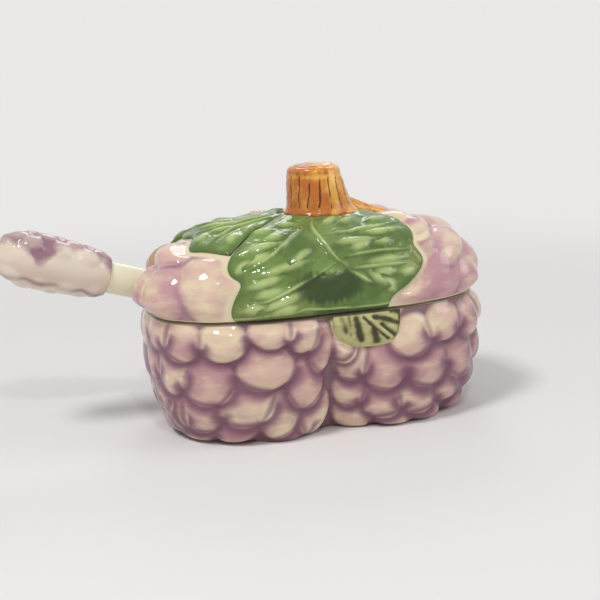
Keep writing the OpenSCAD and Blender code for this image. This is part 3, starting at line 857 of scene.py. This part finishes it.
front_ribs = [
    [(249, 0.95), (258, 0.74), (262, 0.64), (265, 0.54), (268, 0.45), (272, 0.39), (271, 0.3)],
    [(252, 0.85), (248, 0.72), (246, 0.62), (244, 0.53), (240, 0.45), (235, 0.38)],
    [(267, 0.42), (260, 0.33), (255, 0.28), (249, 0.21), (244, 0.16), (239, 0.17)],
    [(260, 0.71), (271, 0.69), (284, 0.74), (310, 0.76)],
    [(297, 0.47), (283, 0.49), (269, 0.46)],
    [(295, 0.36), (280, 0.37), (272, 0.36)],
    [(272, 0.36), (276, 0.3), (281, 0.22)],
]
front_puffs = [
    [(243, 0.73), (234, 0.67)], [(245, 0.63), (238, 0.61), (231, 0.55)],
    [(243, 0.55), (238, 0.48), (235, 0.42)], [(237, 0.49), (233, 0.37)],
    [(257, 0.57), (254, 0.49), (251, 0.43)], [(258, 0.46), (250, 0.42), (241, 0.36)],
    [(249, 0.34), (244, 0.31), (238, 0.27)], [(250, 0.25), (240, 0.2)],
    [(257, 0.23), (250, 0.15), (243, 0.1)], [(245, 0.13), (236, 0.1)], [(255, 0.11), (246, 0.07)],
    [(272, 0.95), (260, 0.85)], [(289, 0.92), (269, 0.83)], [(304, 0.67), (280, 0.68)],
    [(288, 0.6), (276, 0.6), (265, 0.59)], [(284, 0.58), (273, 0.52)], [(293, 0.58), (283, 0.55)],
    [(294, 0.41), (277, 0.4)], [(289, 0.3), (281, 0.33)], [(297, 0.3), (289, 0.29)],
    [(284, 0.28), (288, 0.13)], [(279, 0.34), (286, 0.2)], [(270, 0.35), (261, 0.29)],
    [(314, 0.85), (292, 0.84)], [(232, 0.8), (222, 0.74)], [(240, 0.88), (228, 0.84)],
]
side_ribs = [
    [(198, 0.94), (199, 0.82), (206, 0.71), (212, 0.58)],
    [(190, 0.96), (184, 0.85), (180, 0.72), (178, 0.67)],
    [(184, 0.86), (168, 0.78), (150, 0.7), (141, 0.5)],
]
side_puffs = [
    [(212, 0.76), (222, 0.62)], [(189, 0.72), (201, 0.6)], [(207, 0.86), (220, 0.75)],
    [(196, 0.8), (191, 0.68)], [(175, 0.82), (167, 0.68)], [(160, 0.84), (154, 0.7)],
    [(150, 0.82), (138, 0.7)], [(147, 0.62), (144, 0.5)],
]
print(len(front_ribs + side_ribs), "ribs and", len(front_puffs + side_puffs), "puffs")


# %% The tree that raises ribs and puffs out of a leaf
def ridge_tree():
    tree, start, given = geometry_tree("leaf_relief", {
        "Ribs": "Object", "Puffs": "Object", "Ribs width": "Float", "Puffs width": "Float", "Height": "Float",
        "Crumple": "Float", "Glaze": "Material"})
    place = start.node("GeometryNodeInputPosition")
    strength = read_mark(start, "strength")
    crumple = start.node("ShaderNodeTexNoise", None, {0: place, 2: 130.0, 3: 2.0}) - 0.5
    relief = 0.0
    for kind in ("Ribs", "Puffs"):
        cloud = start.node("GeometryNodeObjectInfo", {"transform_space": "ORIGINAL"}, {0: given[kind]}, out=4)
        index, away = nearest(start, cloud, place)
        strong = sample(start, cloud, strength, index)
        far = length(start, away) / (given[kind + " width"] * (0.3 + 0.7 * strong)) + crumple * 0.8
        ridge = strong * start.math("EXPONENT", 0 - far * far)
        relief = start.math("MAXIMUM", relief, ridge)
    flesh = read_mark(start, "top") * read_mark(start, "flesh")
    lift = (relief * given["Height"] + crumple * given["Crumple"]) * flesh
    normal = start.node("GeometryNodeInputNormal")
    finish_tree(start, given["Skin"], {"relief": relief}, push(start, lift, normal), given["Glaze"])
    return tree


leaf_relief = ridge_tree()


# %% Green glaze that runs off the ridges and pools in the hollows
LEAF_DARK = rgba(0.085, 0.155, 0.028)
LEAF_GREEN = rgba(0.19, 0.30, 0.07)
VEIN_LIGHT = rgba(0.48, 0.60, 0.22)
POOL_GREEN = rgba(0.028, 0.060, 0.010)
OLIVE = rgba(0.22, 0.25, 0.065)


def leaf_colour(start):
    relief, edge, fan = marks_of(start, "relief", "edge", "fan")
    margin, ragged, low = marks_of(start, "margin", "ragged", "low")
    strokes = cloudy(start, 170, detail=4.0)
    patches = cloudy(start, 55, detail=2.0)
    brush = cloudy(start, 420, stretch=(1, 1, 0.25), detail=4.0)
    base = paint(smooth(patches + strokes * 0.6, 0.6, 1.0), LEAF_DARK, LEAF_GREEN)
    tinted = paint(smooth(low + (strokes - 0.5) * 0.5, 0.1, 0.9) * 0.85, base, OLIVE)
    ridge = smooth(relief * (0.55 + patches) + (strokes - 0.5) * 0.8, 0.15, 1.15) * 0.85
    lit = paint(ridge, tinted, VEIN_LIGHT)
    border = paint((1 - smooth(edge + (strokes - 0.5) * 2, 0.3, 2.4)) * 0.7, lit, LEAF_DARK)
    # painted highlight: a thin light line along the lower margin of the leaf
    line = paint(margin * smooth(strokes, 0.25, 0.5) * 0.75, border, VEIN_LIGHT)
    pooled = fan + (brush - 0.5) * (0.2 + ragged) - relief * 0.25
    return paint(smooth(pooled, 0.12, 0.85) * 0.92, line, POOL_GREEN)


leaf_glaze = glaze("leaf_green_glaze", leaf_colour)


# %% Drape a leaf on the dome
leaf_round = 3 * MM
edge_thinness = 0.25


def drape(name, angle, share, ribs, puffs, more_marks):
    """Leaf over a sheet of places on the dome, thin at its edge."""
    ground, normal = lid_dome(angle, share), dome_normal(angle, share)
    border = np.concatenate([ground[0], ground[1:, -1], ground[-1, ::-1], ground[::-1, 0]])
    tree = KDTree(len(border))
    for i, point in enumerate(border):
        tree.insert(point, i)
    tree.balance()
    to_edge = np.array([tree.find(p)[2] for p in ground.reshape(-1, 3)]).reshape(share.shape)
    flesh = np.sqrt(1 - (1 - np.clip(to_edge / leaf_round, 0, 1)) ** 2)
    under = ground + normal * slip_gap
    over = under + normal * (leaf_thickness * mix(edge_thinness, 1, flesh))[..., None]
    marks = {"edge": to_edge / MM, "flesh": flesh, **more_marks}
    if np.sum(np.cross(over[0, 1] - over[0, 0], over[1, 0] - over[0, 0]) * normal[0, 0]) < 0:
        under, over = under[:, ::-1], over[:, ::-1]
        marks = {mark: values[:, ::-1] for mark, values in marks.items()}
    piece = slab(name, under, over, marks)
    clouds = {"Ribs": ridge_cloud("ribs", ribs), "Puffs": ridge_cloud("puffs", puffs)}
    run_tree(piece, leaf_relief, {
        **clouds, "Ribs width": 0.8 * MM, "Puffs width": 1.8 * MM, "Height": 1.1 * MM, "Crumple": 1.6 * MM,
        "Glaze": leaf_glaze})
    for cloud in clouds.values():
        bpy.data.objects.remove(cloud)
    describe(piece)
    return piece


# %% The two leaves of the lid
pool_angle, pool_half_angle = 265, 13
pool_share, pool_half_share = 0.25, 0.155
# Where each tint starts and is full, in degrees or as shares
right_from = (256, 264)
lower_left_below, right_lobe_from, right_lobe_below = (0.1, 0.32), (288, 300), (0.4, 0.66)
ragged_below = (0.16, 0.28)
# Half width of the painted highlight along the margin, and the step below it where the lower band starts
margin_half_width, margin_step = 0.01, 0.015
leaf_split = 0.8


def dark_pool(angle, share):
    """Pool of dark glaze under the middle of the front leaf; the brush left its lower end ragged."""
    across, down = (angle - pool_angle) / pool_half_angle, (pool_share - share) / pool_half_share
    ragged = 1 + 0.12 * np.sin(angle * 1.3) + 0.1 * np.sin(angle * 2.9)
    pool = 1 - ease(np.hypot(across, down / ragged), 0.5, 1.25)
    bitten_top = ease(np.hypot(across, down + 1.3), 0.3, 0.8)
    return pool * bitten_top


# The line of painted highlight along the lower margin of the front leaf, as angle and share
margin_line = rounded([(234, 0.035), (245, 0.05), (251, 0.07), (254, 0.06), (257, 0.09), (262, 0.07),
                       (278, 0.055), (286, 0.06)])


def build_front_leaf():
    along, across = sheet(150, 170)
    share = mix(leaf_foot, leaf_top, along)
    angle = mix(np.interp(share, *front_left.T), np.interp(share, *front_right.T), across)
    line = np.interp(angle, *margin_line.T)
    below, right = 1 - ease(share, line - margin_step, line), ease(angle, *right_from)
    lower_left = 0.6 * (1 - ease(share, *lower_left_below)) * (1 - right)
    right_lobe = 0.7 * ease(angle, *right_lobe_from) * (1 - ease(share, *right_lobe_below))
    return drape("front_vine_leaf", angle, share, front_ribs, front_puffs, {
        "fan": np.maximum(dark_pool(angle, share), 0.8 * below * right),
        "margin": bump(share, line, margin_half_width),
        "ragged": 1 - ease(share, *ragged_below),
        "low": np.max([below * (1 - right), lower_left, right_lobe], 0)})


def build_side_leaf():
    along, across = sheet(90, 150)
    foot = np.interp(mix(side_back, side_front, across), *side_edge.T)
    share = mix(foot, leaf_top, along)
    angle = mix(side_back, np.interp(share, *front_left.T) - leaf_split, across)
    none = np.zeros_like(share)
    return drape("side_vine_leaf", angle, share, side_ribs, side_puffs, {
        "fan": none, "margin": none, "ragged": none, "low": none})


front_vine_leaf = build_front_leaf()
side_vine_leaf = build_side_leaf()

# %% [markdown]
# ## The small leaf under the rim
#
# A half leaf hangs from the rim, right of the cleft. It is pale yellow-green, with a light midrib and a
# few strokes of dark olive that the painter set by hand, so they are listed one by one.

# %% Striped leaf
STRIPE_LIGHT = rgba(0.60, 0.57, 0.25)
STRIPE_DARK = rgba(0.052, 0.048, 0.014)

# Start and end across and up from the middle of the leaf's top and half width, in millimetres, and strength
leaf_strokes = [
    ((-3.9, -2.0), (-1.0, -10.1), 1.4, 1.0), ((-1.2, -2.0), (2.4, -5.3), 0.8, 0.95),
    ((2.4, -5.3), (7.8, -10.2), 0.9, 0.95), ((2.8, -5.6), (4.0, -10.7), 1.5, 1.0),
    ((5.1, -5.1), (9.7, -9.3), 1.15, 0.95), ((2.4, -2.2), (6.4, -3.2), 1.2, 1.0),
    ((6.4, -3.2), (11.2, -5.4), 1.1, 1.0), ((8.6, -0.6), (11.0, -1.2), 1.3, 1.0),
    ((11.3, -1.5), (11.8, -8.2), 0.8, 1.0), ((-9.2, -1.5), (-6.6, -7.0), 1.2, 0.65),
    ((-6.4, -1.4), (-4.9, -8.6), 0.8, 0.45),
]
leaf_midrib = ((0.7, -2.4), (8.9, -10.1), 0.45, 1.0)


def striped_colour(start):
    stripe, rib = marks_of(start, "stripe", "rib")
    strokes = cloudy(start, 320, detail=4.0)
    ground = paint(smooth(strokes, 0.42, 0.75) * 0.45, STRIPE_LIGHT, OLIVE)
    dark = paint(smooth(stripe + (strokes - 0.5) * 0.9, 0.12, 0.95), ground, STRIPE_DARK)
    return paint(rib * 0.9, dark, STRIPE_LIGHT)


striped_glaze = glaze("striped_leaf_glaze", striped_colour)


def stroke_over(x, y, stroke):
    """Strength of a brush stroke at places on the leaf, in millimetres."""
    (x0, y0), (x1, y1), half_width, strength = stroke
    along = np.clip(((x - x0) * (x1 - x0) + (y - y0) * (y1 - y0)) / ((x1 - x0) ** 2 + (y1 - y0) ** 2), 0, 1)
    off = np.hypot(x - mix(x0, x1, along), y - mix(y0, y1, along))
    return strength * bump(off, 0, half_width)


def build_pot_leaf():
    end_turn, below_rim = 0.06, 0.8 * MM
    rim_thickness, flesh_height, rib_height, stripe_depth = 0.35 * MM, 0.9 * MM, 0.4 * MM, 0.2 * MM
    up, share = sheet(60, 120)
    across = -np.cos(mix(end_turn, np.pi - end_turn, share))
    x = pot_leaf_offset + pot_leaf_half_width * across
    power = pot_leaf_power(across)
    drop = pot_leaf_drop * (1 - np.abs(across) ** power) ** (1 / power)
    z = pot_height - below_rim - drop * (1 - up)
    angle = 270 + np.degrees(np.arcsin(np.clip(x / rim_half[0], -1, 1)))
    step = pot_wall(angle + angle_step, z) - pot_wall(angle - angle_step, z)
    normal = np.stack([step[..., 1], -step[..., 0], np.zeros_like(z)], -1)
    normal /= np.linalg.norm(normal, axis=-1, keepdims=True)
    off_x, off_z = (x - pot_leaf_offset) / MM, (z - pot_height) / MM
    rib = stroke_over(off_x, off_z, leaf_midrib)
    stripe = np.max([stroke_over(off_x, off_z, stroke) for stroke in leaf_strokes], 0) * (1 - rib)
    flesh = np.sqrt(1 - np.clip(pot_leaf_reach(x, z), 0, 1) ** 6)
    under = pot_wall(angle, z) + normal * slip_gap
    thickness = rim_thickness + flesh_height * flesh + rib_height * rib - stripe_depth * stripe
    over = under + normal * thickness[..., None]
    piece = slab("small_striped_leaf", under, over, {"stripe": stripe, "rib": rib})
    piece.data.materials.append(striped_glaze)
    describe(piece)
    return piece


small_striped_leaf = build_pot_leaf()

# %% [markdown]
# ## The stalk knob
#
# The knob is a stump of vine stalk: bark with upright grooves, and a slightly domed cut on top. It leans
# out towards the twig that grew from it. A turned body gives the stump, and a small Geometry Nodes tree
# presses the grooves into it by angle, so that their number and depth stay two values.

# %% Bark grooves by rule
def bark_tree():
    tree, start, given = geometry_tree("bark_grooves", {
        "Grooves": "Float", "Depth": "Float", "Wander": "Float", "Lumps": "Float", "Glaze": "Material"})
    place = start.node("GeometryNodeInputPosition")
    x, y = (start.node("ShaderNodeSeparateXYZ", None, {0: place}, out=k) for k in (0, 1))
    noise = start.node("ShaderNodeTexNoise", None, {0: place, 2: 140.0, 3: 2.0})
    angle = start.math("ARCTAN2", y, x - knob_x) + (noise - 0.5) * given["Wander"]
    wave = start.math("ABSOLUTE", start.math("SINE", angle * given["Grooves"] / 2))
    cut = start.math("MAXIMUM", 1 - wave * 3.4, 0.0) * read_mark(start, "bark") * smooth(noise, 0.28, 0.48)
    lift = (noise - 0.5) * given["Lumps"] - cut * given["Depth"]
    normal = start.node("GeometryNodeInputNormal")
    finish_tree(start, given["Skin"], {"groove": cut}, push(start, lift, normal), given["Glaze"])
    return tree


bark_grooves = bark_tree()

# %% Honey glaze over brown
HONEY = rgba(0.90, 0.48, 0.085)
AMBER = rgba(0.56, 0.16, 0.018)
BARK_BROWN = rgba(0.13, 0.035, 0.006)


def stalk_colour(start):
    groove, amber_and_lip_highlight, brown_rings_and_foot_shade = marks_of(start, "groove", "amber_and_lip_highlight", "brown_rings_and_foot_shade")
    strokes = cloudy(start, 300, stretch=(1, 1, 0.35), detail=5.0)
    patches = cloudy(start, 130, detail=3.0)
    base = paint(smooth(patches * 1.5 + strokes * 1.2 + amber_and_lip_highlight * 0.35, 1.1, 1.8), HONEY, AMBER)
    # brown rings that the brush left, and painted shade round the foot
    shaded = paint(smooth(brown_rings_and_foot_shade + (strokes - 0.5) * 1.9, 0.35, 0.9) * 0.8, base, BARK_BROWN)
    return paint(smooth(groove, 0.15, 0.6), shaded, BARK_BROWN)


stalk_glaze = glaze("stalk_honey_glaze", stalk_colour)


# %% The stump
knob_round, knob_crown = 2.2 * MM, 0.8 * MM
twig_lean, twig_lean_fade, twig_spread = 3.6 * MM, 4.5 * MM, 50
# The top moves to the left by this share of the taper, so that the left side stands nearly upright
left_uprightness = 0.9
bark_below_top, bark_over_foot, side_share = 3.4 * MM, (1.5 * MM, 3 * MM), 0.93
# Lines round the stump, how far below the top and how wide: a ring that the brush left, and a painted
# highlight on the lip under the top
ring_below_top, ring_half_width = 2.6 * MM, 0.8 * MM
lip_highlight_below_top, lip_highlight_half_width = 4 * MM, 0.7 * MM
# Painted shade round the foot of the stump, where it meets the lid: how high it reaches
foot_shade_half_height = 1.2 * MM
crown_share, crown_half_width = 0.66, 0.6 * MM
amber_side = 205


def build_knob():
    sides = 240
    angle = np.arange(sides) * 360 / sides
    cosine, sine = np.cos(np.radians(angle)), np.sin(np.radians(angle))
    towards_twig = bump(np.minimum(angle, 360 - angle), 0, twig_spread)
    shoulder = knob_height - knob_crown
    profile = [(s * knob_base_radius, 0.0) for s in (0.05, 0.5, 0.9, 0.99)]
    for share in np.linspace(0.02, 1, 46):
        z = share * (shoulder - knob_round)
        foot = (knob_base_radius - knob_waist_radius) * math.exp(-z / MM)
        profile.append((mix(knob_waist_radius, knob_top_radius, share) + foot, z))
    for inset, drop in round_over(knob_round, np.arange(15, 91, 15)):
        profile.append((knob_top_radius - inset, shoulder - drop))
    for share in np.linspace(0.72, 0.03, 10):
        profile.append((knob_top_radius * share, knob_height - knob_crown * share ** 2))
    rings = []
    for radius, z in profile:
        lean = twig_lean * math.exp(-z / twig_lean_fade) * towards_twig * min(1, radius / knob_top_radius)
        reach = radius + lean
        middle = knob_x - (knob_waist_radius - knob_top_radius) * left_uprightness * z / knob_height
        rings.append(np.stack([middle + reach * cosine, reach * sine, np.full(sides, knob_low.z + z)], -1))
    radii, heights = np.array(profile).T[:, :, None] * np.ones(sides)
    on_side = radii > knob_top_radius * side_share
    under_lip = ease(knob_height - bark_below_top - heights, 0, MM)
    bark = on_side * under_lip * ease(heights, *bark_over_foot)
    ring_line = bump(heights, knob_height - ring_below_top, ring_half_width)
    # painted highlight: a lighter honey line on the lip under the top
    lip_highlight = bump(heights, knob_height - lip_highlight_below_top, lip_highlight_half_width) * on_side
    # painted shade round the foot, where the stump meets the lid
    foot_shade = bump(heights, 0, foot_shade_half_height)
    crown_line = bump(radii, crown_share * knob_top_radius, crown_half_width)
    piece = shell("vine_stalk_knob", rings, {
        "bark": bark,
        # amber on one side, less amber on the lip where the painted highlight lies
        "amber_and_lip_highlight": ease(np.cos(np.radians(angle - amber_side)), -0.3, 1) - lip_highlight,
        "brown_rings_and_foot_shade": np.max([ring_line * 0.5, foot_shade * 0.8, crown_line * 0.6], 0)})
    run_tree(piece, bark_grooves, {
        "Grooves": 17.0, "Depth": 0.8 * MM, "Wander": 0.3, "Lumps": 1.4 * MM, "Glaze": stalk_glaze})
    describe(piece)
    return piece


vine_stalk_knob = build_knob()


# %% The twig beside the knob
twig_root = 9 * MM
twig_half_width = (5 * MM, 1.2 * MM)
twig_edge, twig_height = 0.3 * MM, (4.4 * MM, 0.8 * MM)
furrow_depth = 0.3 * MM


def build_twig():
    along, across = sheet(60, 31)
    side = mix(-1, 1, across)
    x = mix(knob_x + twig_root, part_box("side_twig")[1].x, along)
    y = mix(*twig_half_width, along) * side
    spread = np.clip((np.hypot(x - knob_x, y) - pad_radius) / (lid_half[0] - knob_x - pad_radius), 0, 1)
    under = np.stack([x, y, dome_height(spread) + slip_gap], -1)
    body = twig_edge + mix(*twig_height, along ** 0.9) * np.sqrt(1 - side ** 2)
    furrow = ease(np.cos(side * 9), 0.6, 1) * (1 - along) * 0.5
    over = under + (body - furrow * furrow_depth)[..., None] * (0, 0, 1)
    none = np.zeros_like(along)
    piece = slab("side_shoot", under[:, ::-1], over[:, ::-1], {
        "groove": furrow * 0.3, "amber_and_lip_highlight": none, "brown_rings_and_foot_shade": none})
    piece.data.materials.append(stalk_glaze)
    describe(piece)
    return piece


side_shoot = build_twig()

# %% [markdown]
# ## The spoon
#
# One casting: a handle shaped as a small bunch, a plain round stem that leans in the bay and a deep
# bowl. The outside is lofted along the stem, the small grapes along the handle's upper and lower edge come
# from the same relief tree as those of the pot, and an egg shape is cut out for the bowl.

# %% Cross-sections along the spoon
tip_room = 0.6 * MM
spoon_reach = (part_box("jam_spoon")[1].x - rest_x) / math.cos(spoon_slope) - tip_room
stem_outside = 17 * MM
handle_length = 39.5 * MM
handle_half = (9 * MM, 8.6 * MM)
handle_widest = 0.62
collar_radius = 6.6 * MM
neck_radius = 4 * MM
neck_length = 16 * MM
bowl_length = 36 * MM
bowl_half_width = 12 * MM
bowl_depth = 7 * MM
bowl_wall = 2.4 * MM
bowl_egg, neck_fade = 1.15, 3
bowl_start = spoon_reach - bowl_length
print(f"the bowl starts {bowl_start / MM:.1f} mm down the stem from the rim")


def along_spoon(points):
    """Places points that are given along the spoon: X runs down the stem into the pot, Z is up."""
    x, y, z = np.moveaxis(np.asarray(points), -1, 0)
    c, s = math.cos(spoon_slope), math.sin(spoon_slope)
    return np.stack([rest_x + x * c + z * s, spoon_y + y, rest_z - x * s + z * c], -1)


def spoon_section(x):
    """Half width, height over the axis and depth under it."""
    if x < -stem_outside:
        along = (-stem_outside - x) / handle_length
        if along < handle_widest:
            grow = math.sin(math.pi / 2 * along / handle_widest)
            wide, high = (mix(collar_radius, h, grow) for h in handle_half)
        else:
            shrink = math.sqrt(max(0, 1 - ((along - handle_widest) / (1 - handle_widest)) ** 2))
            wide, high = (h * shrink for h in handle_half)
        return wide, high, high
    if x < bowl_start:
        radius = mix(stem_radius, neck_radius, min(1, max(0, (x - bowl_start + neck_length) / neck_length)))
        return radius, radius, radius
    share = min(1, (x - bowl_start) / bowl_length)
    wide = math.sqrt(max(0, math.sin(math.pi * share ** bowl_egg)))
    fade = max(0, 1 - neck_fade * share)
    return (max(neck_radius * fade, bowl_half_width * wide), mix(bowl_wall * wide, neck_radius, fade),
            max(neck_radius * fade, bowl_depth * wide))


# %% Cream glaze with a purple upper edge
SPOON_CREAM = rgba(0.86, 0.82, 0.60)
HANDLE_CREAM = rgba(0.76, 0.66, 0.53)
HANDLE_PURPLE = rgba(0.29, 0.14, 0.19)


def spoon_colour(start):
    handle, purple, line, swell = marks_of(start, "handle", "purple", "line", "swell")
    strokes = cloudy(start, 150, stretch=(0.6, 1, 1), detail=4.0)
    patches = cloudy(start, 70, detail=2.0)
    body = paint(handle, SPOON_CREAM, HANDLE_CREAM)
    pink = paint(smooth(strokes + patches * 0.7, 0.7, 1.2) * handle * 0.35, body, PINK)
    brushed = smooth(purple + (strokes - 0.5) * 1.4 + (patches - 0.5) * 1.2, 0.3, 0.95)
    edge = paint(brushed * handle * (0.95 - 0.4 * smooth(swell, 0.5, 1.0)), pink, HANDLE_PURPLE)
    return paint(line * smooth(patches + strokes, 0.7, 1.1) * handle * 0.8, edge, HANDLE_PURPLE)


spoon_glaze = glaze("spoon_cream_glaze", spoon_colour)


# %% Loft the spoon and raise its grapes
near_tip = math.pi / 2 * 0.985
joint_gap, handle_edge = 0.5 * MM, 0.6 * MM
small_grape = (4.2 * MM, 3.6 * MM)
grape_rows, first_row, last_row = 8, 4 * MM, 0.95 * handle_length
line_level, line_half_width = -0.65, 0.07


def build_spoon():
    sides = 120
    turn = np.radians(np.arange(sides) * 360 / sides)
    cosine, sine = np.cos(turn), np.sin(turn)
    handle = [-stem_outside - handle_length * math.sin(t) for t in np.linspace(near_tip, 0, 90)]
    stem = np.linspace(-stem_outside + joint_gap, bowl_start - joint_gap, 60).tolist()
    bowl = [bowl_start + bowl_length * math.sin(t) for t in np.linspace(0, near_tip, 56)]
    stations = np.array(handle + stem + bowl)
    rings, levels = [], []
    for station in stations:
        wide, over, under = spoon_section(station)
        z = np.where(sine > 0, over, under) * sine
        rings.append(along_spoon(np.stack([np.full(sides, station), wide * cosine, z], -1)))
        levels.append(z / handle_half[1])
    x, level = stations[:, None] * np.ones(sides), np.array(levels)
    on_handle = ease(-stem_outside - x, 0, handle_edge)
    along = (-stem_outside - x) / handle_length
    lower_end = np.interp(along, (0, 0.08, 0.2, 0.4, 0.5, 0.58, 0.66, 0.72, 0.8, 1),
                          (0.2, 0.45, 0.75, 0.8, 0.6, 0.15, 0.1, 0.4, 0.5, 0.4))
    off_ends = ease(along, 0, 0.1) * (1 - ease(along, 0.9, 0.98))
    piece = shell("leaning_jam_spoon", rings, {
        "handle": on_handle, "room": on_handle * off_ends * ease(np.abs(level), 0.15, 0.6),
        "purple": ease(level, lower_end - 0.4, lower_end + 0.3),
        "line": bump(level, line_level, line_half_width)})
    seats, nowhere = [], along_spoon((0, 0, 0))
    rows = np.linspace(-stem_outside - first_row, -stem_outside - last_row, grape_rows)
    for row, station in enumerate(rows):
        wide, high, _ = spoon_section(station)
        for at in np.radians((-90, 70, 130) if row % 2 else (-125, -55, 100)):
            c, s = math.cos(at), math.sin(at)
            spot, *ways = along_spoon([(station, wide * c, high * s), (1, 0, 0), (0, -s, c)])
            seats.append((spot, *((way - nowhere) / half for way, half in zip(ways, small_grape))))
    raise_grapes(piece, np.array(seats), rise=1.4 * MM, lap=0.0, upright=1.0, softness=4, finish=spoon_glaze)
    return piece


leaning_jam_spoon = build_spoon()

# %% Cut the bowl
hollow_middle, hollow_half = 0.54, 0.4


def bowl_cutter():
    turn = np.radians(np.arange(64) * 360 / 64)
    rings = []
    for tilt in np.radians(np.linspace(-88, 88, 40)):
        x = bowl_start + (hollow_middle + hollow_half * math.sin(tilt)) * bowl_length
        y = (bowl_half_width - bowl_wall) * math.cos(tilt) * np.cos(turn)
        z = bowl_wall + bowl_depth * math.cos(tilt) * np.sin(turn)
        rings.append(along_spoon(np.stack([np.full_like(y, x), y, z], -1)))
    return shell("bowl_cutter", rings, {})


def below_handle(places):
    x, _, z = places.T
    return (x - rest_x) * math.cos(spoon_slope) - (z - rest_z) * math.sin(spoon_slope) > -stem_outside + MM


cut_out(leaning_jam_spoon, bowl_cutter(), sharp_angle=50)
mark_where(leaning_jam_spoon, below_handle, {"handle": 0.0})
describe(leaning_jam_spoon)

# %% [markdown]
# ## Riding on the frame
#
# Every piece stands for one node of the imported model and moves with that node's body.

# %% What each piece stands for
RIDES = [
    (grape_pot, "pot", "pot_body", "grape_glaze"),
    (small_striped_leaf, "pot", "pot_leaf", "leaf_glaze"),
    (grape_lid, "lid", "lid_shell", "grape_glaze"),
    (front_vine_leaf, "lid", "front_leaf", "leaf_glaze"),
    (side_vine_leaf, "lid", "side_leaf", "leaf_glaze"),
    (vine_stalk_knob, "lid", "stalk_knob", "stalk_glaze"),
    (side_shoot, "lid", "side_twig", "stalk_glaze"),
    (leaning_jam_spoon, "spoon", "jam_spoon", "spoon_glaze"),
]
for piece, body, node, slot in RIDES:
    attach(piece, body)
    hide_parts(node)
print(len(RIDES), "pieces ride on", sorted({body for _, body, _, _ in RIDES}))

# %% [markdown]
# ## The studio
#
# A pale sweep of paper, soft lamps and a camera at the photograph's angle. Far from the pot the paper
# glows evenly for the camera and in reflections, as an evenly lit backdrop does; near the pot it is plain
# paper that takes the shadow. Glaze shows what it reflects, so one lamp is small: it gives each grape its
# bright point.

# %% Paper sweep
PAPER = rgba(0.82, 0.81, 0.79)
BLACK = rgba(0, 0, 0)
glow_start, glow_full = 0.14, 0.5


def shows_background(start):
    """1 for the rays that see the background itself, 0 for the light that it throws on the pot."""
    direct, glossy, through = (start.node("ShaderNodeLightPath", None, None, out=ray)
                               for ray in ("Is Camera Ray", "Is Glossy Ray", "Is Transmission Ray"))
    return start.math("MAXIMUM", start.math("MAXIMUM", direct, glossy), through)


def build_sweep():
    half, front, back, bend, top = 6.0, -6.0, 1.1, 0.5, 2.2
    profile = [(front, 0.0), (0.0, 0.0), (back, 0.0)]
    for turn in np.linspace(0.1, math.pi / 2, 14):
        profile.append((back + bend * math.sin(turn), bend * (1 - math.cos(turn))))
    profile.append((back + bend, top))
    points = [(x, y, z) for y, z in profile for x in (-half, half)]
    faces = [(2 * i, 2 * i + 1, 2 * i + 3, 2 * i + 2) for i in range(len(profile) - 1)]
    sweep = new_piece("paper_sweep", points, faces, {})
    paper = bpy.data.materials.new("pale_paper")
    paper.use_nodes = True
    matt = paper.node_tree.nodes["Principled BSDF"]
    start = Wire(paper.node_tree)
    glow = smooth(length(start, object_place(start)), glow_start, glow_full) * shows_background(start)
    paper.node_tree.links.new(paint(glow, PAPER, BLACK).socket, matt.inputs["Base Color"])
    paper.node_tree.links.new(paint(glow, BLACK, PAPER).socket, matt.inputs["Emission Color"])
    for socket, value in (("Emission Strength", 1.0), ("Specular IOR Level", 0.0), ("Roughness", 0.9)):
        matt.inputs[socket].default_value = value
    sweep.data.materials.append(paper)
    print("the paper sweep is", 2 * half, "m wide")
    return sweep


build_sweep()


# %% Lamps and the light of the room
ROOM_GREY = rgba(0.38, 0.38, 0.4)
POT_MIDDLE = (0, 0, 0.045)


def lamp(name, place, size, power):
    light = bpy.data.lights.new(name, "AREA")
    light.shape = "DISK"
    light.size = size
    light.energy = power
    lit = bpy.data.objects.new(name, light)
    bpy.context.scene.collection.objects.link(lit)
    lit.location = place
    lit.rotation_euler = (Vector(POT_MIDDLE) - Vector(place)).to_track_quat("-Z", "Y").to_euler()
    print(name, "gives", power, "W")


lamp("soft_key", (-0.5, -0.3, 0.95), 0.25, 5.0)
lamp("soft_fill", (0.75, -0.35, 0.45), 0.5, 1.5)
lamp("small_sparkle", (-0.12, -0.55, 0.62), 0.06, 0.9)
lamp("rim_light", (0.25, 0.7, 0.65), 0.4, 1.2)

world = bpy.data.worlds.new("studio_room")
world.use_nodes = True
room_light = world.node_tree.nodes["Background"]
seen = shows_background(Wire(world.node_tree))
world.node_tree.links.new(paint(seen, ROOM_GREY, PAPER).socket, room_light.inputs["Color"])
bpy.context.scene.world = world
bpy.context.scene.view_settings.view_transform = "Standard"

# %% Camera at the photograph's angle
FIELD_OF_VIEW = math.radians(28)
CAMERA_PLACE = Vector((-0.13886, -0.39370, 0.13560))
CAMERA_AIM = Vector((-0.0033, 0, 0.041))
CAMERA_ROLL = math.radians(-1.85)
view = bpy.data.cameras.new("photo_view")
view.sensor_width = 36
view.lens = view.sensor_width / 2 / math.tan(FIELD_OF_VIEW / 2)
camera = bpy.data.objects.new("photo_view", view)
bpy.context.scene.collection.objects.link(camera)
camera.location = CAMERA_PLACE
facing = (CAMERA_AIM - CAMERA_PLACE).to_track_quat("-Z", "Y") @ Quaternion((0, 0, 1), CAMERA_ROLL)
camera.rotation_euler = facing.to_euler()
bpy.context.scene.camera = camera
print("camera at", [round(v, 3) for v in camera.location])
